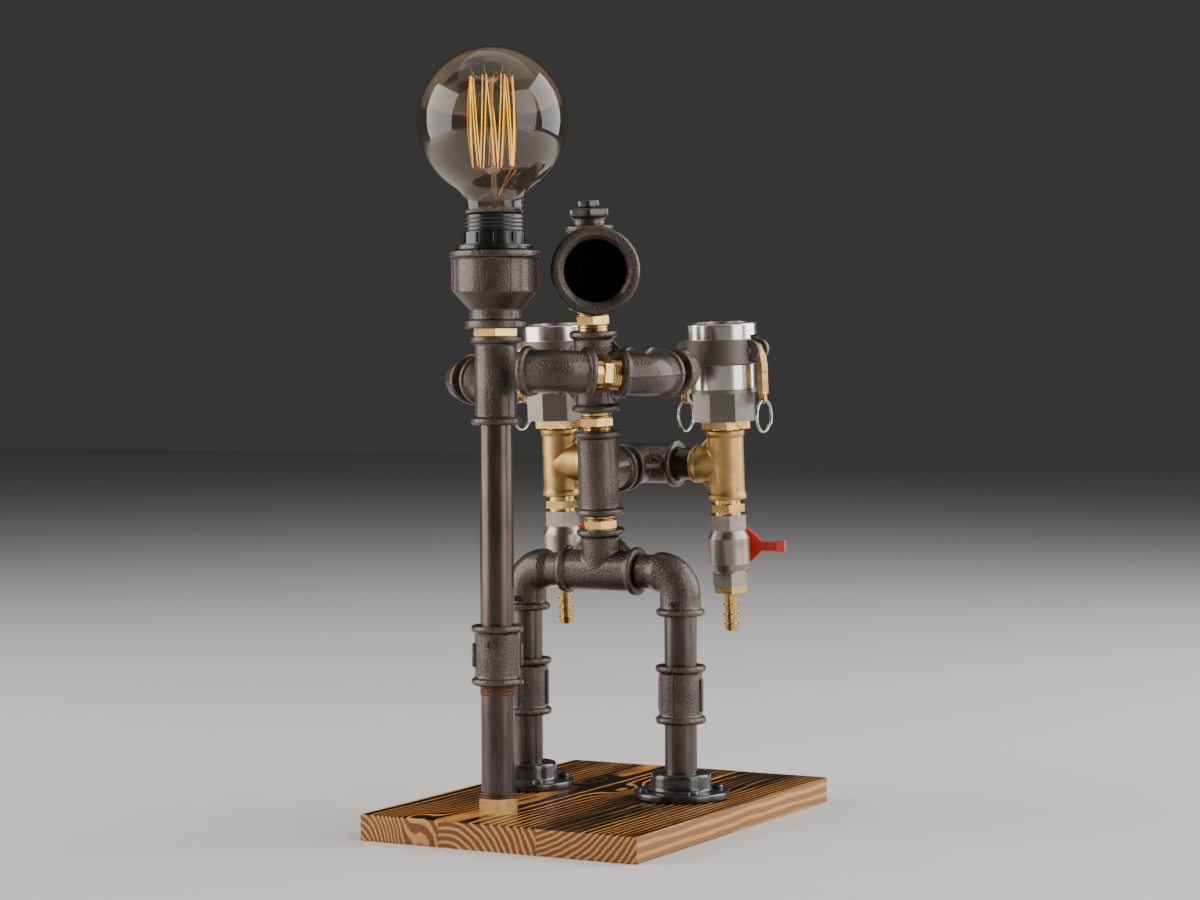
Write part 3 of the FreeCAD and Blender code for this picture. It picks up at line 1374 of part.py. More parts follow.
def cam_lever(label):
    """A closed cam lever about its pin: the cam towards the bore, the arm hanging outside."""
    body = new_body(label)
    inner = size("lever_arm_inset")
    outer = inner + "lever_arm_thickness"
    tip = -size("lever_arm_length")
    hub = size("lever_hub_radius")
    for radius, across in ((hub, ZERO), (size("cam_radius"), -size("cam_throw"))):
        sketch = new_sketch(body, "XZ_Plane")
        draw_circle(sketch, radius, across, ZERO)
        extrude(body, sketch, "lever_width", middle=True)
    sketch = new_sketch(body, "XZ_Plane")
    draw_outline(sketch, [(ZERO, hub - 0.6), (inner - 0.6, hub - 1.0), (outer - 2.2, ZERO),
                          (outer - 0.6, -hub - 1), (outer, -hub * 2.4), (outer, tip + 1.5),
                          (outer - 1.5, tip), (inner + 0.8, tip), (inner, tip + 0.8),
                          (inner, -hub * 1.7), (ZERO, -hub + 0.6)])
    extrude(body, sketch, "lever_width", middle=True)
    panel = new_sketch(body, "YZ_Plane", offset=outer)
    half = size("lever_width") * 0.3
    low = tip + "lever_tip_length" + 1.5
    high = -hub * 3.0
    draw_outline(panel, [(-half, low), (half, low), (half, high), (-half, high)])
    extrude(body, panel, "lever_panel_depth", cut=True)
    for side in (1, -1):
        cheek = new_sketch(body, "XZ_Plane")
        top = tip + "lever_tip_length"
        draw_outline(cheek, [(inner - 1, tip - 1), (outer + 1, tip - 1), (outer + 1, top),
                             (inner - 1, top)])
        spare = (size("lever_width") - "lever_tip_width") / 2
        edge = size("lever_width") / 2
        cheek.AttachmentOffset = FreeCAD.Placement(V(0, 0, side * edge.number),
                                                   FreeCAD.Rotation())
        cheek.setExpression("AttachmentOffset.Base.z", (edge * side).formula)
        extrude(body, cheek, spare, cut=True, back=side < 0)
    for radius, across, tall in (
            (size("pin_radius") + "pin_clearance", ZERO, ZERO),
            (size("ring_hole_radius"), (inner + outer) / 2, tip + "ring_hole_inset")):
        sketch = new_sketch(body, "XZ_Plane")
        draw_circle(sketch, radius, across, tall)
        extrude(body, sketch, size("lever_width") + 2, cut=True, middle=True)
    return body


RING_ACROSS = size("lever_arm_inset") + size("lever_arm_thickness") / 2
RING_HANG = size("ring_hole_inset") - "lever_arm_length"


def pull_ring(label):
    ring = doc.addObject("Part::Torus", label)
    ring.setExpression("Radius1", "Sizes.ring_radius")
    ring.setExpression("Radius2", "Sizes.ring_wire_radius")
    return ring


for name, hinge in hinges.items():
    keep(name + "_lever", [cam_lever(name + "_lever_casting")], [hinge])
    hook = hinge * frame(RING_ACROSS.number, 0, RING_HANG.number - mm("ring_radius"),
                         facing(V(0, 1, 0), V(1, 0, 0)))
    keep(name + "_ring", [pull_ring(name + "_ring_wire")], [hook])


# ---------------------------------------------------------------- valves

VALVE_HEIGHT = size("valve_top_hex_height") + "valve_body_height" + "valve_low_hex_height"
BALL_HEIGHT = size("valve_low_hex_height") + size("valve_body_height") / 2
VALVE_GAP = size("valve_collar_below") + "nipple_hex_height" + "valve_collar_above"


def solid_cut(label, base, tool):
    cut = doc.addObject("Part::Cut", label)
    cut.Base = base
    cut.Tool = tool
    return cut


def sphere(label, radius, height):
    ball = doc.addObject("Part::Sphere", label)
    ball.setExpression("Radius", size(radius).formula)
    ball.Placement = frame(z=size(height).number)
    ball.setExpression("Placement.Base.z", size(height).formula)
    return ball


def valve_body(label):
    """A ball valve body, its lower face at Z zero and its stem's boss along Y."""
    body = new_body(label + "_shell")
    low = size("valve_low_hex_height")
    high = low + "valve_body_height"
    shoulder = size("valve_body_height") * 0.2
    turn(body, [(ZERO, low - OVERLAP), ("valve_shoulder_radius", low - OVERLAP),
                ("valve_shoulder_radius", low + 1), ("valve_belly_radius", low + shoulder),
                ("valve_belly_radius", high - shoulder), ("valve_shoulder_radius", high - 1),
                ("valve_shoulder_radius", high + OVERLAP), (ZERO, high + OVERLAP)])
    spanner_prism(body, "valve_hex_flats", ZERO, low)
    spanner_prism(body, "valve_hex_flats", high, VALVE_HEIGHT)
    sketch = new_sketch(body, "XZ_Plane")
    draw_circle(sketch, "boss_radius", ZERO, BALL_HEIGHT)
    extrude(body, sketch, "boss_length")
    doc.recompute()
    if body.Shape.BoundBox.YMax < mm("boss_length") - 1:
        body.Tip.Reversed = True
    sketch = new_sketch(body, "XZ_Plane")
    draw_circle(sketch, size("valve_stem_radius") + "valve_stem_clearance", ZERO, BALL_HEIGHT)
    hole = extrude(body, sketch, size("boss_length") + STRETCH, cut=True)
    doc.recompute()
    if hole.AddSubShape.BoundBox.YMax < 1:
        hole.Reversed = True
    deep = size("socket_depth")
    drill(body, SMALL_FIT, -STRETCH, deep - 1)
    drill(body, SMALL_FIT, VALVE_HEIGHT - deep, VALVE_HEIGHT + STRETCH)
    drill(body, "ball_bore_radius", ZERO, VALVE_HEIGHT)
    doc.recompute()
    return solid_cut(label, body, sphere(label + "_cavity", "valve_cavity_radius", BALL_HEIGHT))


def valve_ball(label):
    """The bored ball and its stem along Y, about the ball's centre; the bore lies along X."""
    ball = sphere(label + "_sphere", "ball_radius", ZERO)
    stem = doc.addObject("Part::Cylinder", label + "_stem")
    stem.setExpression("Radius", "Sizes.valve_stem_radius")
    reach = size("handle_plane") + "handle_thickness" + "stem_nut_height" + 1.2
    stem.setExpression("Height", reach.formula)
    stem.Placement = frame(rotation=facing(V(1, 0, 0), V(0, 1, 0)))
    joined = doc.addObject("Part::Fuse", label + "_joined")
    joined.Base = ball
    joined.Tool = stem
    bore = doc.addObject("Part::Cylinder", label + "_bore")
    bore.setExpression("Radius", "Sizes.ball_bore_radius")
    bore.setExpression("Height", (size("ball_radius") * 2 + 2).formula)
    start = mm("ball_radius") + 1
    bore.Placement = frame(-start, 0, 0, facing(V(0, 1, 0), V(1, 0, 0)))
    return solid_cut(label, joined, bore)


def butterfly(label):
    """The pressed handle: a tall hub, two wings along X and their tips bent outwards."""
    body = new_body(label)
    thick = size("handle_thickness")
    fold = size("handle_tip_fold")
    bend, span = size("handle_bend"), size("handle_half_span")
    neck, half = size("handle_neck"), size("handle_wing_height") / 2
    crown, rise = size("handle_crown"), size("handle_hub_rise")
    sketch = new_sketch(body, "XY_Plane")
    draw_outline(sketch, [(-bend, -half), (-neck, -half), (-crown, -rise), (crown, -rise),
                          (neck, -half), (bend, -half), (bend, half), (neck, half),
                          (crown, rise), (-crown, rise), (-neck, half), (-bend, half)])
    extrude(body, sketch, thick)
    for side in (1, -1):
        sketch = new_sketch(body, "XZ_Plane")
        start, tip = bend * side, span * side
        draw_outline(sketch, [(start, ZERO), (tip, fold), (tip, fold + thick), (start, thick)])
        extrude(body, sketch, "handle_tip_height", middle=True)
    drill(body, size("valve_stem_radius") + "thread_clearance", -STRETCH, thick + STRETCH)
    return body


def stem_nut(label):
    body = new_body(label)
    tall = size("stem_nut_height")
    spanner_prism(body, size("stem_nut_flats") * 1.3, ZERO, tall)
    drill(body, size("valve_stem_radius") + "thread_clearance", -STRETCH, tall + STRETCH)
    return body


def valve_nipple(label):
    return hex_nipple(label, "valve_collar_below", "valve_collar_above", "tail_hex_flats",
                      "small_thread_radius")


def hose_tail(label):
    """A barbed tail pointing down from a hexagon, whose top face is at Z zero."""
    body = new_body(label)
    hexagon = -size("tail_hex_height")
    top = size("engagement")
    pitch = size("barb_length") / BARB_COUNT
    profile = [(ZERO, top), ("small_thread_radius", top), ("small_thread_radius", hexagon * 0.5),
               ("barb_root_radius", hexagon * 0.5)]
    for number in range(BARB_COUNT):
        start = hexagon - pitch * number
        profile.append(("barb_root_radius", start - pitch * 0.25))
        profile.append(("barb_radius", start - pitch * 0.3))
    profile += [("barb_root_radius", hexagon - "barb_length"), (ZERO, hexagon - "barb_length")]
    turn(body, profile)
    spanner_prism(body, "tail_hex_flats", hexagon, ZERO)
    drill(body, "barb_bore_radius", hexagon - "barb_length" - STRETCH, top + STRETCH)
    return body


valve_top = -(size("brass_reach") + VALVE_GAP)
valve_low = valve_top - VALVE_HEIGHT
valves = [rack * frame(z=valve_low.number) for rack in racks]
keep("valve_nipples", in_turn(valve_nipple, "valve_nipple", 2),
     [rack * frame(z=valve_top.number) for rack in racks])
keep("valve_bodies", in_turn(valve_body, "valve_body", 2), valves)
keep("hose_tails", in_turn(hose_tail, "hose_tail", 2), valves)
for name, place in zip(("left", "right"), valves):
    centre = place * frame(z=BALL_HEIGHT.number)
    handle_turn = facing(V(1, 0, 0), V(0, 1, 0))
    keep(name + "_valve_ball", [valve_ball(name + "_ball_and_stem")], [centre])
    keep(name + "_valve_handle", [butterfly(name + "_butterfly")],
         [centre * frame(y=mm("handle_plane"), rotation=handle_turn)])
    nut_plane = mm("handle_plane") + mm("handle_thickness")
    keep(name + "_stem_nut", [stem_nut(name + "_nut")],
         [centre * frame(y=nut_plane, rotation=handle_turn)])


# ---------------------------------------------------------------- check and export

doc.recompute()
faults = []
for item in doc.Objects:
    if "Invalid" in item.State or "Error" in item.State:
        faults.append(item.Name)
for label, item in nodes.items():
    if item.Shape.isNull() or not item.Shape.isValid():
        faults.append(label)
if faults:
    raise RuntimeError("not sound: " + ", ".join(faults))

os.makedirs("parts", exist_ok=True)
for label, item in nodes.items():
    item.Shape.exportStep("parts/%s.step" % label)
print("wrote %d parts" % len(nodes))
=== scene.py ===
"""Dresses the pipe-figure table lamp: castings, pipes, brass, glass bulb and burnt pine board."""

import math
import random

import bmesh
import bpy
from mathutils import Matrix, Vector


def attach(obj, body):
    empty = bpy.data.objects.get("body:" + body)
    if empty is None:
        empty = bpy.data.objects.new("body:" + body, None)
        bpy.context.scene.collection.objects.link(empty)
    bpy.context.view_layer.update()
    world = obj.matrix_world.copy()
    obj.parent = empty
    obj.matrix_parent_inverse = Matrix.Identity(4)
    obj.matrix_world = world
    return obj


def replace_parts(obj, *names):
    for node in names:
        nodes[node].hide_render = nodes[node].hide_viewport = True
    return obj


MM = 0.001
TAU = 2 * math.pi
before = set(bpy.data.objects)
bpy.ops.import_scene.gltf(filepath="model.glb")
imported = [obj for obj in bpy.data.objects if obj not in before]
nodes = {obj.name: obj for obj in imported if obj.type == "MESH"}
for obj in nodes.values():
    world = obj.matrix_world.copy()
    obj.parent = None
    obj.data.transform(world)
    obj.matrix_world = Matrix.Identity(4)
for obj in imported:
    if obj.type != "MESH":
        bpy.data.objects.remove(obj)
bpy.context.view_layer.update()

# ---------------------------------------------------------------- places, in millimetres

BOARD_TOP = 17.0
BOARD_HALF_WIDE = 99.0
BOARD_HALF_LONG = 140.0
COLUMN = Vector((-6.0, 12.0, BOARD_TOP))
HIP = COLUMN + Vector((0, 0, 147.2))
LEAN = math.radians(3.9)    # the torso tips forwards
TORSO = Matrix.Translation(HIP) @ Matrix.Rotation(LEAN, 4, "X")
LEG_ACROSS = 57.9
LEFT_LEG = Matrix.Translation(COLUMN + Vector((LEG_ACROSS, 0, 0)))
RIGHT_LEG = Matrix.Translation(COLUMN - Vector((LEG_ACROSS, 0, 0)))
POLE = Matrix.Translation((-23.566, -95.195, BOARD_TOP))
HOLDER_RIM = 378.2          # above the board
FRONT_SIDE = -61.5          # degrees about an upright, towards the camera

# up the torso from the hips: the top of the hip tee, then the other fittings' middles
TEE_REACH = 28.0
CHEST_TEE = 65.0
SHOULDERS = 132.1
HEAD = 200.2

# the couplers on the figure's back: how far behind and beside the torso, then heights up it
RACK_BACK = 62.0
RACK_ACROSS = 63.5
COUPLER_LOW = CHEST_TEE + 29.5
FLATS_TOP = COUPLER_LOW + 21.4
CUP_LOW = COUPLER_LOW + 37.4
CUP_HIGH = COUPLER_LOW + 54.8
PIN_HEIGHT = COUPLER_LOW + 65.0 - 18.1
RING_ACROSS = 23.5 + 5.3    # to either side of a coupler

# where the mould's halves met on each arm: a point and the parting plane's normal
ARM_PLANES = (((59.506, 8.044, 296.337), (0.0, -0.042, 0.9991)),
              ((-76.490, -2.396, 295.625), (0.0, -0.093, 0.9957)))
WRIST_JOINT = (64.261, -53.719, 293.741)
WRIST_WAY = (-0.64614, -0.76163, 0.04915)

# the open socket that is the face: its mouth, the way it looks, and its inside walls, which bound
# the shade painted inside it
FACE_MOUTH = Vector((31.907, -64.558, 359.645))
FACE_WAY = Vector((0.51504, -0.85518, -0.05830))
FACE_WIDE_WALL = (22.0, 23.2)
FACE_NARROW_WALL = (10.5, 11.2)
FACE_STEP = (-20.7, -20.4)
FACE_SHADE = (-7.0, -0.5)


# ---------------------------------------------------------------- shader maths

class Wire:
    """A shader socket that takes part in sums."""

    def __init__(self, finish, socket):
        self.finish = finish
        self.socket = socket

    def join(self, operation, other, swapped=False):
        """The Math node of one operation on this socket and another or a number."""
        pair = (other, self) if swapped else (self, other)
        return self.finish.node("ShaderNodeMath", {"operation": operation},
                                {0: pair[0], 1: pair[1]})

    def __add__(self, other):
        return self.join("ADD", other)

    def __sub__(self, other):
        return self.join("SUBTRACT", other)

    def __mul__(self, other):
        return self.join("MULTIPLY", other)

    def __rsub__(self, other):
        return self.join("SUBTRACT", other, True)

    def __rpow__(self, other):
        return self.join("POWER", other, True)

    __radd__ = __add__
    __rmul__ = __mul__

    def wave(self):
        """Its sine."""
        return self.join("SINE", 0.0)

    def root(self):
        """Its square root."""
        return self.join("SQRT", 0.0)

    def between(self, low, high):
        """Runs from 0 at low to 1 at high, smoothly, and stays there."""
        return self.finish.node("ShaderNodeMapRange", {"interpolation_type": "SMOOTHSTEP"},
                                {"Value": self, "From Min": low, "From Max": high})


class Finish:
    """A material built round one Principled shader."""

    def __init__(self, name, **constants):
        self.material = bpy.data.materials.new(name)
        self.material.use_nodes = True
        self.tree = self.material.node_tree
        self.tree.nodes.clear()
        self.shader = self.tree.nodes.new("ShaderNodeBsdfPrincipled")
        end = self.tree.nodes.new("ShaderNodeOutputMaterial")
        self.tree.links.new(self.shader.outputs[0], end.inputs["Surface"])
        for key, value in constants.items():
            self.put(key.replace("_", " "), value)

    def feed(self, socket, value):
        """Links a wire to a socket, or sets a number or colour on it."""
        if isinstance(value, Wire):
            self.tree.links.new(value.socket, socket)
        elif socket.type == "RGBA" and len(value) == 3:
            socket.default_value = (*value, 1.0)
        else:
            socket.default_value = value

    def put(self, name, value):
        """Feeds one of the shader's own sockets."""
        self.feed(self.shader.inputs[name], value)

    def node(self, kind, settings, sockets, output=0):
        """Adds a node: its settings first, then the values or links of its sockets."""
        made = self.tree.nodes.new(kind)
        for key, value in settings.items():
            setattr(made, key, value)
        for key, value in sockets.items():
            self.feed(made.inputs[key], value)
        return Wire(self, made.outputs[output])

    def spot(self, scale=(1, 1, 1), shift=(0, 0, 0)):
        """The place on the piece in metres, squeezed by a scale and shifted."""
        point = self.node("ShaderNodeTexCoord", {}, {}, "Object")
        if scale == (1, 1, 1) and shift == (0, 0, 0):
            return point
        return self.node("ShaderNodeMapping", {},
                         {"Vector": point, "Scale": scale, "Location": shift})

    def noise(self, point, scale, detail=2.0, roughness=0.5, distortion=0.0):
        return self.node("ShaderNodeTexNoise", {}, {
            "Vector": point, "Scale": scale, "Detail": detail, "Roughness": roughness,
            "Distortion": distortion})

    def axes(self, point):
        """A point's three coordinates, each a wire of its own."""
        return [self.node("ShaderNodeSeparateXYZ", {}, {"Vector": point}, part)
                for part in range(3)]

    def mix(self, share, first, second):
        """A colour between two, by a share from 0 to 1."""
        return self.node("ShaderNodeMix", {"data_type": "RGBA"},
                         {0: share, 6: first, 7: second}, 2)

    def relief(self, height, depth_mm, strength):
        """Bumps the surface by a height from 0 to 1, given its full depth."""
        self.put("Normal", self.node("ShaderNodeBump", {}, {
            "Height": height, "Distance": depth_mm * MM, "Strength": strength}))


# ---------------------------------------------------------------- finishes

def lacquered_casting(name="lacquered_casting", painted_shade_inside=False):
    """Grainy cast iron, dark gunmetal going brown, under clear lacquer; given
    painted_shade_inside, the face socket's inside is painted near black as painted shade.
    """
    made = Finish(name, Coat_Roughness=0.14)
    point = made.spot()
    patch = made.noise(point, 38, 3, 0.6)
    peel = made.noise(point, 790, 2, 0.5)
    grit = made.noise(point, 1900, 2, 0.5)
    rust = made.noise(point, 110, 4, 0.65).between(0.60, 0.78)
    tone = made.mix(patch.between(0.35, 0.68), (0.062, 0.050, 0.042), (0.100, 0.079, 0.063))
    tone = made.mix(rust * 0.45, tone, (0.14, 0.076, 0.039))
    coat = 0.4 - rust * 0.25
    # painted shade: near black with no coat inside the face socket, where the recess lies in shade
    if painted_shade_inside:
        inside = face_painted_shade(made)
        tone = made.mix(inside, tone, (0.0015, 0.0015, 0.0015))
        coat = coat * (1 - inside)
    made.put("Base Color", tone)
    made.put("Metallic", 0.94)
    made.put("Roughness", 0.30 + grit * 0.14 + rust * 0.1)
    made.put("Coat Weight", coat)
    made.relief(peel + grit * 0.35, 0.72, 1.0)
    return made.material


def face_painted_shade(made):
    """Mask of the shade painted inside the face socket: 1 inside the face, from behind its rim,
    and 0 on the rim and outside.
    """
    offset = made.node("ShaderNodeVectorMath", {"operation": "SUBTRACT"},
                       {0: made.spot(), 1: FACE_MOUTH * MM})
    depth = made.node("ShaderNodeVectorMath", {"operation": "DOT_PRODUCT"},
                      {0: offset, 1: FACE_WAY}, 1)
    square = made.node("ShaderNodeVectorMath", {"operation": "DOT_PRODUCT"},
                       {0: offset, 1: offset}, 1)
    from_axis = (square - depth * depth).root()
    wide = 1 - past(from_axis, FACE_WIDE_WALL)
    narrow = 1 - past(from_axis, FACE_NARROW_WALL)
    ahead = past(depth, FACE_STEP)
    return (wide * ahead + narrow * (1 - ahead)) * (1 - past(depth, FACE_SHADE))


def past(length, ends):
    """Runs from 0 to 1 as a length in metres passes between two ends in millimetres."""
    return length.between(ends[0] * MM, ends[1] * MM)


def drawn_pipe(name, brown=0.0):
    """Smooth dark pipe with faint lengthwise draw marks."""
    made = Finish(name, Coat_Roughness=0.1)
    streak = made.noise(made.spot((1, 1, 0.05)), 900, 3, 0.6)
    patch = made.noise(made.spot((1, 1, 0.35)), 60, 4, 0.6)
    base = made.mix(patch.between(0.3, 0.7), (0.038 + 0.015 * brown, 0.033, 0.029 - 0.004 * brown),
                    (0.085 + 0.03 * brown, 0.067, 0.054 - 0.008 * brown))
    made.put("Base Color", made.mix(streak.between(0.45, 0.75) * 0.4, base,
                                    (0.14, 0.112, 0.090)))
    made.put("Metallic", 0.95)
    made.put("Roughness", 0.24 + streak * 0.14 + patch * 0.08)
    made.put("Coat Weight", 0.3)
    made.relief(streak * 0.6 + made.noise(made.spot(), 240, 2) * 0.4, 0.08, 0.5)
    return made.material


def rusty_thread(name="rusty_thread", dark=(0.045, 0.015, 0.008), light=(0.14, 0.046, 0.020)):
    """Cut thread gone brown with rust."""
    made = Finish(name)
    grain = made.noise(made.spot(), 420, 4)
    made.put("Base Color", made.mix(grain, dark, light))
    made.put("Metallic", 0.5)
    made.put("Roughness", 0.45 + grain * 0.2)
    made.relief(grain, 0.1, 0.5)
    return made.material


def enamel_black():
    """Glossy black dipped enamel of the floor flanges, slightly uneven."""
    made = Finish("enamel_black", Metallic=0.35, Coat_Roughness=0.07)
    point = made.spot()
    wash = made.noise(point, 150, 3)
    made.put("Base Color", made.mix(wash.between(0.4, 0.7), (0.016, 0.015, 0.014),
                                    (0.045, 0.038, 0.032)))
    made.put("Roughness", 0.22 + wash * 0.15)
    made.put("Coat Weight", 0.7)
    made.relief(made.noise(point, 380, 3), 0.22, 0.5)
    return made.material


def turned_brass():
    """Bright turned brass with faint tarnish."""
    made = Finish("turned_brass")
    point = made.spot()
    tarnish = made.noise(point, 210, 4, 0.6).between(0.45, 0.8)
    made.put("Base Color", made.mix(tarnish * 0.6, (0.66, 0.415, 0.15), (0.30, 0.17, 0.058)))
    made.put("Metallic", 1.0)
    made.put("Roughness", 0.17 + tarnish * 0.18)
    made.relief(made.noise(point, 900, 2), 0.05, 0.4)
    return made.material


def cast_brass():
    """Satin brass as it comes from a shot-blasted mould."""
    made = Finish("cast_brass")
    point = made.spot()
    patch = made.noise(point, 90, 4, 0.6)
    grain = made.noise(point, 1300, 2)
    made.put("Base Color", made.mix(patch.between(0.35, 0.7), (0.55, 0.34, 0.125),
                                    (0.35, 0.205, 0.07)))
    made.put("Metallic", 1.0)
    made.put("Roughness", 0.34 + grain * 0.16)
    made.relief(grain, 0.10, 0.6)
    return made.material


def coupler_metal():
    """Aluminium of the cam couplers: bands as turned, an as-cast cup between them."""
    made = Finish("coupler_metal")
    point = made.spot()
    _, back, tall = made.axes(point)
    hip = HIP * MM
    level = (tall - hip.z) * math.cos(LEAN) - (back - hip.y) * math.sin(LEAN)
    cup = past(level, (CUP_LOW, CUP_LOW + 0.2)) * (1 - past(level, (CUP_HIGH - 0.2, CUP_HIGH)))
    flats = 1 - past(level, (FLATS_TOP, FLATS_TOP + 0.4))
    grain = made.noise(point, 900, 3, 0.6)
    lines = made.noise(made.spot((0.05, 0.05, 1)), 2600, 2)
    patch = made.noise(point, 120, 3)
    turned = made.mix(patch * 0.4, (0.70, 0.67, 0.63), (0.52, 0.48, 0.44))
    dull = made.mix(flats * 0.9, turned, (0.15, 0.132, 0.118))
    made.put("Base Color", made.mix(cup * 0.95, dull, (0.125, 0.110, 0.098)))
    made.put("Metallic", 1.0)
    made.put("Roughness", 0.16 + cup * 0.30 + flats * 0.20 + lines * 0.08)
    made.relief(grain * cup * 0.9 + lines * (1 - cup) * 0.12, 0.30, 0.8)
    return made.material


def valve_nickel():
    """Satin nickel over forged brass."""
    made = Finish("valve_nickel")
    point = made.spot()
    grain = made.noise(point, 1500, 2)
    patch = made.noise(point, 140, 3)
    made.put("Base Color", made.mix(patch.between(0.4, 0.7), (0.33, 0.292, 0.248),
                                    (0.24, 0.208, 0.175)))
    made.put("Metallic", 1.0)
    made.put("Roughness", 0.26 + grain * 0.16)
    made.relief(grain, 0.07, 0.6)
    return made.material


def bright_steel(name="bright_steel", tone=(0.66, 0.65, 0.63)):
    """Bright metal with fine wear, of steel unless given another tone."""
    made = Finish(name)
    wear = made.noise(made.spot(), 500, 3)
    made.put("Base Color", made.mix(wear * 0.5, tone, (0.40, 0.38, 0.36)))
    made.put("Metallic", 1.0)
    made.put("Roughness", 0.15 + wear * 0.2)
    made.relief(wear, 0.03, 0.4)
    return made.material


def red_enamel():
    """Red enamel of the valve handles."""
    made = Finish("red_enamel", Coat_Roughness=0.08)
    point = made.spot()
    patch = made.noise(point, 160, 3)
    made.put("Base Color", made.mix(patch.between(0.4, 0.8), (0.62, 0.018, 0.010),
                                    (0.42, 0.010, 0.006)))
    made.put("Roughness", 0.30 + patch * 0.12)
    made.put("Coat Weight", 0.5)
    made.relief(made.noise(point, 700, 2), 0.08, 0.5)
    return made.material


def bakelite():
    """Black moulded resin of the lamp holder."""
    made = Finish("bakelite", Coat_Roughness=0.06)
    point = made.spot()
    flow = made.noise(point, 90, 4, 0.6, 1.0)
    made.put("Base Color", made.mix(flow, (0.006, 0.0055, 0.0055), (0.014, 0.012, 0.011)))
    made.put("Roughness", 0.22 + flow * 0.10)
    made.put("Coat Weight", 0.1)
    made.relief(made.noise(point, 500, 2), 0.04, 0.4)
    return made.material


def glazed_ceramic():
    """White insert inside the lamp holder."""
    made = Finish("glazed_ceramic")
    speck = made.noise(made.spot(), 700, 3)
    made.put("Base Color", made.mix(speck.between(0.6, 0.8), (0.80, 0.78, 0.72),
                                    (0.62, 0.58, 0.50)))
    made.put("Roughness", 0.18 + speck * 0.1)
    return made.material


def gasket_rubber():
    """Black rubber of the coupler gaskets."""
    made = Finish("gasket_rubber")
    grain = made.noise(made.spot(), 1100, 3)
    made.put("Base Color", made.mix(grain, (0.016, 0.016, 0.016), (0.04, 0.04, 0.04)))
    made.put("Roughness", 0.62 + grain * 0.2)
    made.relief(grain, 0.05, 0.5)
    return made.material


def amber_glass(name, tint, weight=1.0):
    """Glass of some tint, milkier with less weight."""
    made = Finish(name, Transmission_Weight=weight, IOR=1.46)
    haze = made.noise(made.spot(), 40, 3)
    made.put("Base Color", made.mix(haze * 0.3, tint, [share * 0.93 for share in tint]))
    made.put("Roughness", haze * 0.015)
    return made.material


def glowing_filament(name, strength, ends, centre):
    """Glowing wire, redder at both ends of the cage, where its hooks cool it."""
    made = Finish(name, Emission_Strength=strength)
    _, _, tall = made.axes(made.spot())
    low = BOARD_TOP + HOLDER_RIM + GLOW_LOW
    high = BOARD_TOP + HOLDER_RIM + GLOW_HIGH
    middle = past(tall, (low, low + COOL_END)) * (1 - past(tall, (high - COOL_END, high)))
    made.put("Base Color", (0.9, 0.5, 0.2))
    made.put("Emission Color", made.mix(middle, ends, centre))
    return made.material


def burnt_pine(name, pith, pitch, seed, knots):
    """A stave of lacquered burnt pine: rings about a pith line, bent aside by knots."""
    made = Finish(name, Coat_Roughness=0.12, Specular_IOR_Level=0.10)
    across, along, tall = made.axes(made.spot())
    drift = made.noise(made.spot((1, 0.12, 1), shift=(seed, seed, 0)), 9, 2)
    side = across - pith[0] * MM + (drift - 0.5) * 0.009
    lift = tall - pith[1] * MM
    wobble = made.noise(made.spot((1, 0.22, 1), shift=(seed, 0, 0)), 75, 3)
    distance = (side * side + lift * lift).root() + (wobble - 0.5) * 0.0034
    for centre, reach, swell in knots:
        near = (across - centre[0] * MM) * (1000 / reach[0])
        far = (along - centre[1] * MM) * (1000 / reach[1])
        distance = distance + math.e ** (-1 * (near * near + far * far)) * (swell * MM)
    rings = (distance * (TAU / (pitch * MM))).wave() * 0.5 + 0.5    # 1 on the pale early wood
    fibre = made.noise(made.spot((1, 0.03, 1)), 1500, 3, 0.7)
    flame = made.noise(made.spot((1, 0.25, 1), shift=(0, seed, 0)), 24, 3, 0.6)
    speck = made.noise(made.spot(), 900, 3, 0.6)
    pale_wood = made.mix(speck.between(0.3, 0.7), (0.60, 0.315, 0.125), (0.48, 0.235, 0.085))
    brown_wood = made.mix(speck.between(0.3, 0.7), (0.255, 0.108, 0.040), (0.125, 0.050, 0.019))
    flank = past(across, (BOARD_HALF_WIDE - 0.5, BOARD_HALF_WIDE - 0.2)) * 0.55
    brown_wood = made.mix(flank, brown_wood, (0.36, 0.185, 0.088))
    cut = made.mix(rings.between(0.40, 0.86), brown_wood, pale_wood)
    gold = made.mix(flame.between(0.36, 0.62), (0.055, 0.019, 0.005), (0.66, 0.26, 0.048))
    char = made.mix(fibre, (0.0045, 0.0035, 0.003), (0.012, 0.008, 0.006))
    line = rings.between(0.66, 0.93)
    skin = made.mix(line, char, gold)
    top = past(tall, (BOARD_TOP - 0.8, BOARD_TOP - 0.2))
    made.put("Base Color", made.mix(top, cut, skin))
    made.put("Roughness", 0.55 - top * 0.22 + fibre * 0.12)
    made.put("Coat Weight", 0.04 + top * 0.08)
    made.relief(line * 0.5 + fibre * 0.35, 0.20, 0.5)
    return made.material


# ---------------------------------------------------------------- modelling helpers

SAME_POINT = 0.001          # millimetres apart at most


def shown(name, mesh, finish, body="frame", sharp=35):
    """Turns a finished mesh into a piece that rides on a body."""
    for face in mesh.polygons:
        face.use_smooth = True
    mesh.set_sharp_from_angle(angle=math.radians(sharp))
    piece = bpy.data.objects.new(name, mesh)
    bpy.context.scene.collection.objects.link(piece)
    mesh.materials.append(finish)
    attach(piece, body)
    return piece


def to_mesh(shape, name, place=Matrix.Identity(4), close=True):
    """Closes a bmesh worked in millimetres and gives it its place in metres."""
    bmesh.ops.remove_doubles(shape, verts=shape.verts, dist=SAME_POINT)
    if close:
        bmesh.ops.recalc_face_normals(shape, faces=shape.faces)
    bmesh.ops.transform(shape, matrix=Matrix.Scale(MM, 4) @ place, verts=shape.verts)
    mesh = bpy.data.meshes.new(name)
    shape.to_mesh(mesh)
    shape.free()
    return mesh


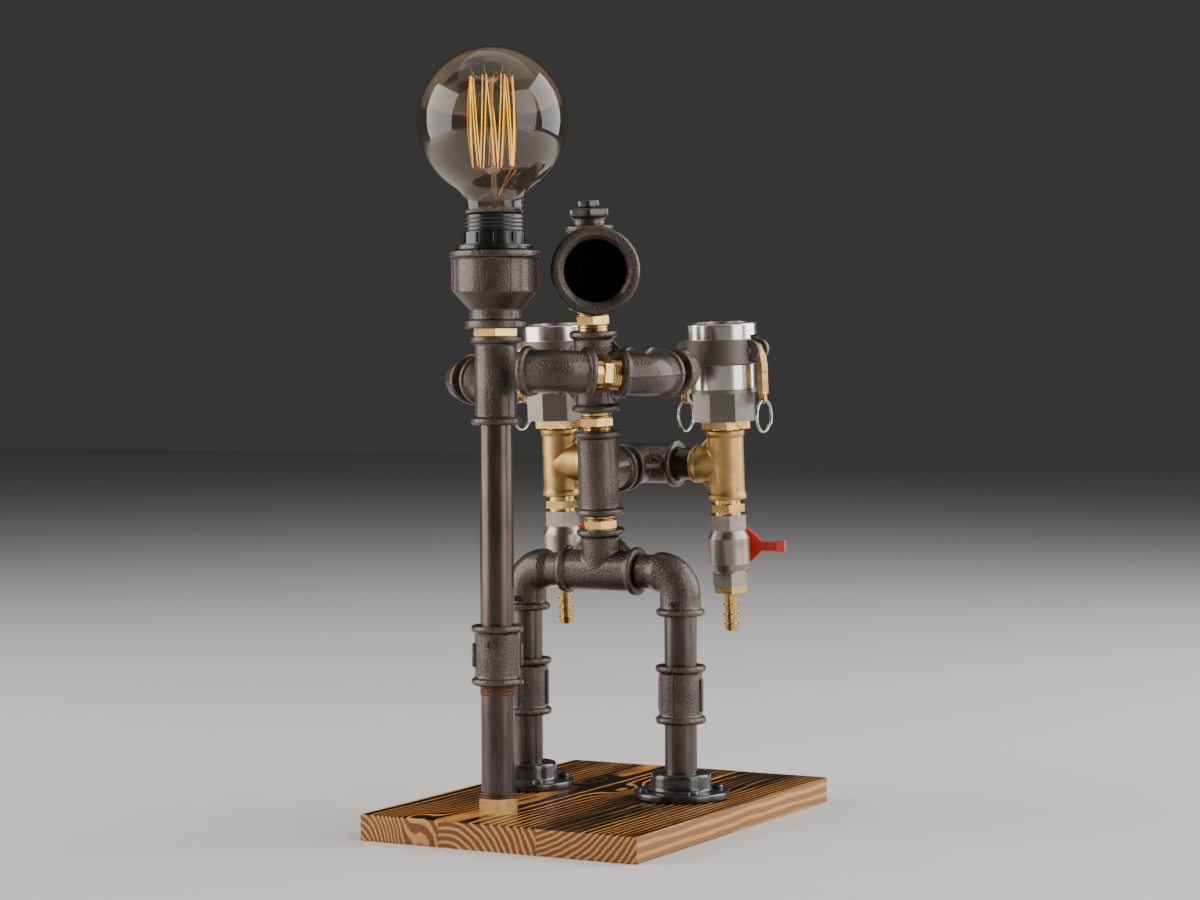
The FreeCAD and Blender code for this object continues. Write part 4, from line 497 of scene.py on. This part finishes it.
def chain(shape, points):
    """Joins points into one row of edges."""
    verts = [shape.verts.new(point) for point in points]
    edges = [shape.edges.new(pair) for pair in zip(verts, verts[1:])]
    return verts, edges


def spun(name, profile, place, finish, steps, sharp):
    """A turned piece from (radius, height) points."""
    shape = bmesh.new()
    verts, edges = chain(shape, [(radius, 0, height) for radius, height in profile])
    bmesh.ops.spin(shape, geom=verts + edges, cent=(0, 0, 0), axis=(0, 0, 1), angle=TAU,
                   steps=steps, use_merge=True)
    return shown(name, to_mesh(shape, name, place), finish, sharp=sharp)


PIPE_PITCH = 1.81           # of half-inch pipe thread


def thread_profile(radius, low, high, pitch=PIPE_PITCH, depth=0.75):
    """Outline of a run of thread: crests at the radius, roots a depth inside it."""
    count = max(1, round((high - low) / pitch))
    step = (high - low) / count
    root = radius - depth
    turn = ((root, 0.0), (root, 0.12), (radius, 0.44), (radius, 0.58), (root, 0.9))
    points = [(across, low + step * (number + share))
              for number in range(count) for across, share in turn]
    return [(root - 1.0, low)] + points + [(root, high), (root - 1.0, high)]


def thread_band(name, radius, low, high, place, finish, slot, **sizes):
    """A run of bare thread, turned as rings."""
    return spun(name, thread_profile(radius, low, high, **sizes), place, finish, 48, 80)


def worked_out(data, prepare=None):
    """The mesh of a curve, of words, or of a mesh with modifiers that prepare puts on it."""
    holder = bpy.data.objects.new(data.name + "_holder", data)
    bpy.context.scene.collection.objects.link(holder)
    if prepare:
        prepare(holder)
    bpy.context.view_layer.update()
    mesh = bpy.data.meshes.new_from_object(
        holder.evaluated_get(bpy.context.evaluated_depsgraph_get()))
    bpy.data.objects.remove(holder)
    return mesh


def wires(name, runs, radius, finish, body="frame", resolution=3):
    """Round wires, each along a run of points."""
    curve = bpy.data.curves.new(name, "CURVE")
    curve.dimensions = "3D"
    curve.bevel_depth = radius * MM
    curve.bevel_resolution = resolution
    curve.use_fill_caps = True
    for run in runs:
        line = curve.splines.new("NURBS")
        line.points.add(len(run) - 1)
        for point, where in zip(line.points, run):
            point.co = (*(where * MM), 1.0)
        line.use_endpoint_u = True
        line.order_u = min(4, len(run))
    mesh = worked_out(curve)
    mesh.name = name
    return shown(name, mesh, finish, body, 60)


def along(count, rule):
    """Points that a rule gives for even shares of a run, from 0 to 1."""
    return [rule(step / (count - 1)) for step in range(count)]


def facing(where, way):
    """A place at a point, its Z along a direction."""
    return Matrix.Translation(where) @ Vector(way).to_track_quat("Z", "Y").to_matrix().to_4x4()


def finish_node(name, finish):
    """Gives a node its finish in place of the plain one."""
    node = nodes[name]
    node.data.materials.clear()
    node.data.materials.append(finish)
    return node


def soften_casting(name, finish, grid=0.65, passes=5):
    """Rounds a casting's corners the way sand moulds leave them."""
    sand_mould(finish_node(name, finish), grid, passes)


def sand_mould(piece, grid=0.65, passes=5):
    """Remeshes a piece on a grid in millimetres and smooths it in some passes."""
    net = piece.modifiers.new("sand_mould", "REMESH")
    net.mode = "VOXEL"
    net.voxel_size = grid * MM
    net.use_smooth_shade = True
    ease = piece.modifiers.new("rounded_corners", "SMOOTH")
    ease.factor = 0.5
    ease.iterations = passes


def merged_copy(name):
    """A node's own mesh, its loose triangles joined."""
    shape = bmesh.new()
    shape.from_mesh(nodes[name].data)
    bmesh.ops.remove_doubles(shape, verts=shape.verts, dist=0.00001)
    return shape


FLASH_RISE = 0.55
FLASH_REACH = 0.85          # to either side of the parting plane


def flashed_casting(name):
    """A softened elbow pair with the thin flash where the mould's halves met."""
    blank = bpy.data.meshes.new(name + "_blank")
    shape = merged_copy(name)
    shape.to_mesh(blank)
    shape.clear()
    shape.from_mesh(worked_out(blank, sand_mould))
    shape.normal_update()
    pushes = []
    for vert in shape.verts:
        where, normal = ARM_PLANES[0 if vert.co.x > COLUMN.x * MM else 1]
        gap = abs((vert.co / MM - Vector(where)).dot(Vector(normal).normalized()))
        pushes.append(vert.normal * (FLASH_RISE * MM * max(0.0, 1 - gap / FLASH_REACH)))
    for vert, push in zip(shape.verts, pushes):
        vert.co += push
    mesh = bpy.data.meshes.new(name + "_flashed")
    shape.to_mesh(mesh)
    shape.free()
    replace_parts(shown(name + "_flashed", mesh, CASTING, sharp=70), name)


# ---------------------------------------------------------------- camera and light

CAMERA_TURN = math.radians(28.525)
CAMERA_DIP = math.radians(1.896)
CAMERA_ROLL = math.radians(-0.295)
CAMERA_AIM = COLUMN + Vector((0, 0, 226.77))
CAMERA_AWAY = 1955.85
CAMERA_ASIDE = -1.056
SENSOR = 36.0
IMAGE_WIDTH = 1200
FOCUS_IN_PIXELS = 2960.4


def place_camera():
    """The camera, 2 m from the lamp and slightly above its middle."""
    forward = Vector((-math.sin(CAMERA_TURN) * math.cos(CAMERA_DIP),
                      math.cos(CAMERA_TURN) * math.cos(CAMERA_DIP), -math.sin(CAMERA_DIP)))
    right = Vector((math.cos(CAMERA_TURN), math.sin(CAMERA_TURN), 0))
    up = right.cross(forward)
    right_rolled = right * math.cos(CAMERA_ROLL) + up * math.sin(CAMERA_ROLL)
    up_rolled = up * math.cos(CAMERA_ROLL) - right * math.sin(CAMERA_ROLL)
    spot = CAMERA_AIM - forward * CAMERA_AWAY + right * CAMERA_ASIDE
    turn = Matrix((right_rolled, up_rolled, -forward)).transposed().to_4x4()
    lens = bpy.data.cameras.new("studio_camera")
    lens.sensor_fit = "HORIZONTAL"
    lens.sensor_width = SENSOR
    lens.lens = FOCUS_IN_PIXELS / IMAGE_WIDTH * SENSOR
    lens.clip_start = 0.05
    camera = bpy.data.objects.new("studio_camera", lens)
    camera.matrix_world = Matrix.Translation(spot * MM) @ turn
    bpy.context.scene.collection.objects.link(camera)
    bpy.context.scene.camera = camera


FLOOR_HALF = 6.0
AIR_STRENGTH = 0.055
LAMP_MIDDLE = (0, 0, 0.25)

# where each softbox stands, what it faces, its size, all in metres, its watts and its tone
SOFTBOXES = (
    ("left_softbox", (-1.5, -0.95, 0.75), LAMP_MIDDLE, (1.8, 1.7), 56, (1.0, 0.97, 0.93)),
    ("right_softbox", (1.72, -0.26, 0.85), LAMP_MIDDLE, (1.1, 1.8), 23, (1.0, 0.98, 0.96)),
    ("top_softbox", (0.0, 0.0, 2.8), (0.0, 0.0, 0.0), (3.2, 3.2), 24, (1.0, 1.0, 1.0)),
    ("rim_softbox", (1.32, 1.18, 1.0), LAMP_MIDDLE, (1.7, 1.9), 52, (0.96, 0.98, 1.0)))


def soft_light(name, where, aim, size, power, tone):
    """A softbox that lights the lamp but isn't seen through its glass."""
    data = bpy.data.lights.new(name, "AREA")
    data.shape = "RECTANGLE"
    data.size, data.size_y = size
    data.energy = power
    data.color = tone
    light = bpy.data.objects.new(name, data)
    light.location = where
    light.visible_transmission = False
    light.rotation_euler = (Vector(aim) - Vector(where)).to_track_quat("-Z", "Y").to_euler()
    bpy.context.scene.collection.objects.link(light)


def build_studio():
    """A plain pale floor, dim air and four softboxes."""
    shape = bmesh.new()
    bmesh.ops.create_grid(shape, x_segments=1, y_segments=1, size=FLOOR_HALF)
    mesh = bpy.data.meshes.new("studio_floor")
    shape.to_mesh(mesh)
    shape.free()
    floor = bpy.data.objects.new("studio_floor", mesh)
    bpy.context.scene.collection.objects.link(floor)
    paper = Finish("studio_paper", Base_Color=(0.66, 0.65, 0.635), Roughness=0.7)
    mesh.materials.append(paper.material)
    world = bpy.data.worlds.new("studio_air")
    world.use_nodes = True
    back = world.node_tree.nodes["Background"]
    back.inputs["Color"].default_value = (0.80, 0.79, 0.78, 1)
    back.inputs["Strength"].default_value = AIR_STRENGTH
    bpy.context.scene.world = world
    for softbox in SOFTBOXES:
        soft_light(*softbox)


# ---------------------------------------------------------------- the lamp's finishes

CASTING = lacquered_casting()
PIPE = drawn_pipe("drawn_pipe")
BROWN_PIPE = drawn_pipe("browned_pipe", 0.3)
BRASS = turned_brass()
SATIN_BRASS = cast_brass()
STEEL = bright_steel()
BAKELITE = bakelite()
NICKEL = valve_nickel()
RED = red_enamel()
ENAMEL = enamel_black()


# ---------------------------------------------------------------- board

EASED_EDGE = 1.1
RIGHT_SEAM = -41.0
LEFT_SEAM = 29.0

# each stave's side, its edges, its pith line (across, tall), its ring pitch, its seed, and its
# knots: their centre (across, along), their reach both ways, and how far they swell the rings
STAVES = (("right", -BOARD_HALF_WIDE, RIGHT_SEAM, (-107.0, -8.0), 4.3, 0.3,
           (((-66.0, -132.0), (15.0, 26.0), 17.0), ((-80.0, 40.0), (9.0, 34.0), 6.0))),
          ("middle", RIGHT_SEAM, LEFT_SEAM, (-36.0, -19.0), 4.4, 1.7,
           (((-37.0, 56.0), (7.0, 20.0), 9.0), ((4.0, 28.0), (10.0, 26.0), -13.0))),
          ("left", LEFT_SEAM, BOARD_HALF_WIDE, (12.0, 72.0), 3.6, 3.1,
           (((62.0, 96.0), (9.0, 40.0), 5.0),)))


def build_board():
    """Three staves, glued edge to edge, their outer edges eased."""
    for side, low, high, pith, pitch, seed, knots in STAVES:
        shape = bmesh.new()
        bmesh.ops.create_cube(shape, size=1.0)
        place = (Matrix.Translation(((low + high) / 2, 0, BOARD_TOP / 2))
                 @ Matrix.Diagonal((high - low, BOARD_HALF_LONG * 2, BOARD_TOP, 1)))
        bmesh.ops.transform(shape, matrix=place, verts=shape.verts)
        seam = [low if side != "right" else None, high if side != "left" else None]

        def on_seam(edge):
            return all(vert.co.x in seam for vert in edge.verts)

        outer = [edge for edge in shape.edges if not on_seam(edge)]
        bmesh.ops.bevel(shape, geom=outer, offset=EASED_EDGE, segments=3, profile=0.5,
                        affect="EDGES", material=-1, clamp_overlap=True)
        name = "stave_" + side
        finish = burnt_pine("burnt_pine_" + side, pith, pitch, seed, knots)
        piece = shown(name, to_mesh(shape, name), finish, sharp=50)
        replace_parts(piece, "base_stave_" + side)


# ---------------------------------------------------------------- castings, pipes and brass

LEVERS = ("left_outer_lever", "left_inner_lever", "right_inner_lever", "right_outer_lever")
HANDLES = ("left_valve_handle", "right_valve_handle")


def dress_nodes():
    """Finishes the solids that stay, and rounds the castings among them."""
    for name in ("hip_elbows", "hip_tee", "torso_tee", "shoulder_cross", "head_tee",
                 "left_hand_elbow", "knee_sockets", "pole_socket", "pole_tee", "back_tee"):
        soften_casting(name, CASTING)
    flashed_casting("shoulder_elbows")
    flashed_casting("forearm_elbows")
    soften_casting("face_socket", lacquered_casting("face_casting", painted_shade_inside=True))
    soften_casting("dispenser_tees", SATIN_BRASS, 0.6, 3)
    soften_casting("floor_flanges", ENAMEL, 0.7, 12)
    for name in ("crown_bushing", "crown_plug"):
        soften_casting(name, ENAMEL, 0.6, 40)
    for name in LEVERS:
        soften_casting(name, SATIN_BRASS, 0.35, 4)
    for name in HANDLES:
        soften_casting(name, RED, 0.4, 5)
    for finish, names in (
            (PIPE, ("leg_pipes", "pole_lower_pipe", "arm_nipples", "back_nipples")),
            (BROWN_PIPE, ("pole_upper_pipe",)),
            (ENAMEL, ("flange_screws",)),
            (SATIN_BRASS, ("pole_foot",)),
            (BRASS, ("column_nipples", "wrist_nipples", "pole_top_nipple", "coupler_bushings",
                     "valve_nipples", "hose_tails")),
            (coupler_metal(), ("coupler_bodies",)),
            (NICKEL, ("valve_bodies", "left_valve_ball", "right_valve_ball")),
            (STEEL, ("lever_pins", "foot_bolt", "left_stem_nut", "right_stem_nut")),
            (BAKELITE, ("lampholder_shell", "lampholder_ring")),
            (glazed_ceramic(), ("lampholder_core",)),
            (gasket_rubber(), ("coupler_gaskets",)),
            (bright_steel("cap_metal", (0.75, 0.62, 0.38)), ("bulb_cap",))):
        for name in names:
            finish_node(name, finish)


def build_threads():
    """Bare thread that shows beside the hexagons and at the pipes' ends."""
    for name, low, high in (
            ("waist_thread_low", TEE_REACH - 0.2, TEE_REACH + 0.6),
            ("waist_thread_high", TEE_REACH + 5.5, TEE_REACH + 9.2),
            ("chest_thread_low", CHEST_TEE + 27.9, CHEST_TEE + 31.4),
            ("chest_thread_high", CHEST_TEE + 36.3, CHEST_TEE + 40.6),
            ("neck_thread_low", SHOULDERS + 26.5, SHOULDERS + 31.3),
            ("neck_thread_high", SHOULDERS + 36.2, SHOULDERS + 40.2)):
        thread_band(name, 10.5, low, high, TORSO, BRASS, "polished_brass")
    wrist = facing(WRIST_JOINT, WRIST_WAY)
    thread_band("wrist_thread", 10.3, 21.6, 28.4, wrist, BRASS, "polished_brass")
    thread_band("crown_thread", 11.0, HEAD + 27.9, HEAD + 33.1, TORSO, CASTING, "iron")
    rust = rusty_thread()
    thread_band("pole_low_thread", 11.25, 75.0, 81.3, POLE, rust, "pipe", depth=0.4)
    sooty = rusty_thread("foot_rust", (0.035, 0.014, 0.008), (0.11, 0.045, 0.022))
    thread_band("foot_thread", 12.1, 9.9, 13.2, POLE, sooty, "pipe", depth=0.4)


# ---------------------------------------------------------------- cast marks

FITTING_WALL = 14.3         # radius of the plain outside of a fitting
PIPE_SIZE = "1/2"
MARK_RISE = 0.6


def size_mark(name, tall, axis, radius, turn, level):
    """The pipe's size in raised figures, wrapped round an upright casting, finished black as
    painted shade.
    """
    font = bpy.data.curves.new(name, "FONT")
    font.body = PIPE_SIZE
    font.size = tall
    font.extrude = MARK_RISE
    font.align_x = "CENTER"
    font.align_y = "CENTER"
    font.resolution_u = 3
    shape = bmesh.new()
    shape.from_mesh(worked_out(font))
    bmesh.ops.remove_doubles(shape, verts=shape.verts, dist=SAME_POINT)
    for vert in shape.verts:
        angle = turn + vert.co.x / radius
        out = radius + vert.co.z
        vert.co = Vector((out * math.cos(angle), out * math.sin(angle), level + vert.co.y))
    # painted shade: the figures are cast iron like the fitting, and take black enamel to stand in
    # for the shade round their raised strokes
    shown(name, to_mesh(shape, name, axis, close=False), ENAMEL)


def cast_rib(name, axis, radius, turn, low, high, wide, rise):
    """A rounded lengthwise rib, cast on for a wrench or left by the mould."""
    shape = bmesh.new()
    bmesh.ops.create_cube(shape, size=1.0)
    bmesh.ops.transform(shape, verts=shape.verts, matrix=Matrix.Rotation(turn, 4, "Z")
                        @ Matrix.Translation((radius, 0, (low + high) / 2))
                        @ Matrix.Diagonal((rise * 2, wide, high - low, 1)))
    bmesh.ops.bevel(shape, geom=shape.edges, offset=min(rise, wide / 2) * 0.7, segments=3,
                    profile=0.5, affect="EDGES", material=-1, clamp_overlap=True)
    shown(name, to_mesh(shape, name, axis), CASTING)


def turned_copy(name, axis, degrees):
    """Puts a casting back on its axis turned by some degrees."""
    shape = merged_copy(name)
    about = Matrix.Translation(axis.translation * MM)
    bmesh.ops.transform(shape, verts=shape.verts, matrix=about
                        @ Matrix.Rotation(math.radians(degrees), 4, "Z") @ about.inverted())
    mesh = bpy.data.meshes.new(name + "_turned")
    shape.to_mesh(mesh)
    shape.free()
    piece = shown(name + "_turned", mesh, CASTING)
    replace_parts(piece, name)
    sand_mould(piece)


def build_cast_marks():
    """Size marks, wrench ribs and mould seams of the sockets and elbows."""
    for name, tall, axis, radius, degrees, level in (
            ("pole_size_mark", 6.6, POLE, 14.4, -13, 107.6),
            ("left_hip_size_mark", 5.6, LEFT_LEG, FITTING_WALL, -17, 127.4),
            ("right_hip_size_mark", 5.6, RIGHT_LEG, FITTING_WALL, -30, 127.4)):
        size_mark(name, tall, axis, radius, math.radians(FRONT_SIDE + degrees), level)
    for name, axis, degrees, low, high, wide, rise in (
            ("pole_socket_rib", POLE, -83.5, 92.6, 108.0, 4.0, 1.9),
            ("left_knee_rib", LEFT_LEG, 67, 57.0, 78.5, 4.0, 1.2),
            ("right_knee_rib", RIGHT_LEG, 70, 56.0, 79.0, 4.0, 1.2),
            ("left_knee_seam", LEFT_LEG, -23, 51.0, 85.0, 0.9, 0.5),
            ("right_knee_seam", RIGHT_LEG, -23, 51.0, 85.0, 0.9, 0.5)):
        for number in range(2):
            turn = math.radians(FRONT_SIDE + degrees + 180 * number)
            cast_rib("%s_%d" % (name, number), axis, FITTING_WALL, turn, low, high, wide, rise)
    turned_copy("lamp_reducer", POLE, 39)
    cast_rib("reducer_seam", POLE, 26.2, math.radians(-37), 328.0, 350.5, 0.9, 0.6)


# ---------------------------------------------------------------- bulb

BULB_LEAN = Matrix.Rotation(math.radians(-1.2), 4, Vector((-0.4776, 0.8786, 0)))
LAMP = POLE @ Matrix.Translation((0, 0, HOLDER_RIM)) @ BULB_LEAN
GLOBE_RADIUS = 47.7
GLOBE_RISE = 58.4           # its centre, above the holder's rim
GLOBE_START = math.radians(-56)
GLOBE_STEPS = 30
NECK_ROWS = [(12.4, -10.0), (12.6, -1.5), (16.6, 0.2), (18.4, 1.6), (18.9, 4.0), (19.1, 7.0),
             (19.5, 10.0), (20.5, 12.8), (22.2, 15.3), (24.3, 17.3)]
FLARE_ROWS = [(11.4, -10.0), (10.2, -6.8), (8.0, -3.4), (6.3, 0.2), (5.0, 4.0), (3.9, 8.0),
              (3.0, 11.6), (2.3, 14.6), (1.9, 17.0)]
ROD_ROWS = [(0, 3.0), (1.6, 3.4), (1.9, 6.0), (1.8, 12.0), (1.7, 25.4), (3.2, 26.2), (4.3, 27.3),
            (4.4, 28.4), (3.4, 29.4), (1.5, 29.9), (1.1, 37.8), (1.1, 82.8), (2.6, 83.4),
            (4.0, 84.4), (4.1, 85.4), (3.2, 86.3), (1.2, 86.7), (0, 86.8)]


def globe_outline():
    """Half outline of the glass from the cap up to the crown."""
    rows = list(NECK_ROWS)
    for step in range(GLOBE_STEPS):
        angle = GLOBE_START + (math.pi / 2 - GLOBE_START) * step / GLOBE_STEPS
        rows.append((GLOBE_RADIUS * math.cos(angle), GLOBE_RISE + GLOBE_RADIUS * math.sin(angle)))
    return rows + [(0.0, GLOBE_RISE + GLOBE_RADIUS)]


def glass_wall(piece, thickness):
    """Gives a shell of glass its wall, inwards."""
    wall = piece.modifiers.new("glass_wall", "SOLIDIFY")
    wall.thickness = thickness * MM
    wall.offset = -1


def cage_point(radius, turn, height):
    """A point round the stem, above the holder's rim."""
    return LAMP @ Vector((radius * math.cos(turn), radius * math.sin(turn), height))


def build_glass():
    """The globe, and inside it the stem's flare and rod."""
    tinted = amber_glass("bulb_amber_glass", (0.98, 0.875, 0.72))
    globe = spun("bulb_globe", globe_outline(), LAMP, tinted, 96, 60)
    glass_wall(globe, 0.8)
    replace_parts(globe, "bulb_glass")
    clear = amber_glass("stem_clear_glass", (1.0, 0.97, 0.93))
    flare = spun("bulb_stem_flare", FLARE_ROWS, LAMP, clear, 48, 60)
    glass_wall(flare, 0.7)
    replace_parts(flare, "bulb_stem")
    milky = amber_glass("stem_milky_glass", (0.96, 0.90, 0.82), 0.6)
    rod = spun("bulb_stem_rod", ROD_ROWS, LAMP, milky, 32, 60)
    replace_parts(rod, "bulb_stem")


# heights in the bulb are above the holder's rim
CAGE_LOOPS = 7
CAGE_HOOKS = CAGE_LOOPS * 2
CAGE_LOW, CAGE_HIGH = 30.4, 87.0
CAGE_TALL = CAGE_HIGH - CAGE_LOW
CAGE_RADIUS = 13.6
CAGE_TAPER = 0.6            # how much narrower the cage is at its foot
HOOK_GAP = 0.085            # the angle that a hook's eye takes from each strand
HAIRPIN_BOWS = (0.1, 0.3, 0.5, 0.9)
GLOW_LOW, GLOW_HIGH = 31.0, 86.0
COOL_END = 12.0

# strands that have slackened: where each starts round the cage, its bow, and its twist
SLACK_STRANDS = ((-2.75, 2.6, 0.12), (-2.35, 1.6, -0.15), (-0.6, 1.4, 0.25), (-1.25, 1.8, 0.35),
                 (0.7, 2.2, 0.2))


def build_strands():
    """Hairpins of glowing wire between a lower and an upper row of hooks."""
    random.seed(11)
    runs = []
    for number in range(CAGE_HOOKS):
        bow = random.choice(HAIRPIN_BOWS)
        sway = random.uniform(-0.05, 0.05)
        start = TAU * number / CAGE_HOOKS + HOOK_GAP
        end = TAU * (number + 1) / CAGE_HOOKS - HOOK_GAP

        def strand(share):
            climb = share if number % 2 == 0 else 1 - share
            swell = math.sin(math.pi * share)
            return cage_point(CAGE_RADIUS - CAGE_TAPER * (1 - climb) + bow * swell,
                              start + (end - start) * share + sway * swell,
                              CAGE_LOW + CAGE_TALL * climb)

        runs.append(along(7, strand))
    hot = glowing_filament("hot_filament", 2.0, (1.0, 0.38, 0.0), (1.0, 0.60, 0.0))
    strands = wires("filament_strands", runs, 0.32, hot, resolution=2)
    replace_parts(strands, "bulb_filament")
    slack = [along(9, lambda share: cage_point(
        CAGE_RADIUS - 0.4 + bow * math.sin(math.pi * share), turn + twist * share,
        CAGE_LOW + CAGE_TALL * share)) for turn, bow, twist in SLACK_STRANDS]
    warm = glowing_filament("warm_filament", 0.8, (1.0, 0.16, 0.0), (1.0, 0.24, 0.0))
    strands = wires("filament_slack_strands", slack, 0.2, warm, resolution=1)
    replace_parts(strands, "bulb_filament")


def build_stem_wires():
    """The hooks that hold the strands, and the leads that feed them."""
    hooks = []
    for number in range(CAGE_LOOPS):
        for offset, root, tip, end in ((1, CAGE_HIGH - 1.4, CAGE_HIGH - 0.5, CAGE_HIGH + 6.5),
                                       (0, CAGE_LOW - 2.2, CAGE_LOW - 0.5, CAGE_LOW - 1.6)):
            turn = TAU * (2 * number + offset) / CAGE_HOOKS
            hooks.append([cage_point(2.6, turn, root), cage_point(8.0, turn, root + 0.6),
                          cage_point(CAGE_RADIUS * 0.97, turn, tip),
                          cage_point(CAGE_RADIUS + 0.3, turn, end)])
    wire = bright_steel("holder_wire", (0.72, 0.46, 0.22))
    wires("filament_hooks", hooks, 0.2, wire, resolution=1)
    leads = [[cage_point(1.0, turn, 4.0), cage_point(2.2, turn, 10.0), cage_point(3.2, 0.5, 15.0),
              cage_point(reach * 0.6, turn, 21.0), cage_point(reach, turn, top)]
             for reach, turn, top in ((11.6, 0.30, 28.6), (14.0, 0.62, 27.4))]
    wires("filament_leads", leads, 0.34, bright_steel("lead_wire", (0.95, 0.52, 0.18)),
          resolution=2)
    curls = [along(15, lambda share: LAMP @ Vector((
        side * (2.2 + 2.4 * math.sin(share * 9)) * (1 - share * 0.3),
        1.6 * math.cos(share * 11), -3 + 13 * share))) for side in (1, -1)]
    wires("stem_press_wires", curls, 0.3, wire, resolution=2)


def build_bulb():
    """The lit globe bulb."""
    build_glass()
    build_strands()
    build_stem_wires()


def build_holder():
    """Screw thread on the outside of the lamp holder for the shade ring."""
    thread_band("holder_thread", 19.7, HOLDER_RIM - 11.0, HOLDER_RIM - 1.2, POLE, BAKELITE,
                "bakelite", pitch=2.6, depth=0.9)


# ---------------------------------------------------------------- pull rings

SPLIT_RING = 10.8           # radius to the wire's middle
SPLIT_WIRE = 0.62
SPLIT_WIDTH = 1.7           # from one end of the wire to the other, along the ring's axis
SPLIT_START = 2.2           # where round the ring the wire begins
EYE_DROP = 33.0             # from the lever's pin down to the eye in its end


def build_rings():
    """Split rings: a wire that runs twice round, its ends tucked."""
    tall = PIN_HEIGHT - EYE_DROP - SPLIT_RING
    for side, own in (("left", 1), ("right", -1)):
        for way, sign in (("outer", own), ("inner", -own)):
            across = own * RACK_ACROSS + sign * RING_ACROSS

            def coil(share):
                angle = TAU * 2 * share + SPLIT_START
                return TORSO @ Vector((across + (share - 0.5) * SPLIT_WIDTH,
                                       RACK_BACK + SPLIT_RING * math.sin(angle),
                                       tall + SPLIT_RING * math.cos(angle)))

            name = "%s_%s" % (side, way)
            piece = wires(name + "_split_ring", [along(49, coil)], SPLIT_WIRE, STEEL,
                          name + "_ring")
            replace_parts(piece, name + "_ring")


# ---------------------------------------------------------------- making

place_camera()
build_studio()
build_board()
dress_nodes()
build_threads()
build_cast_marks()
build_bulb()
build_holder()
build_rings()
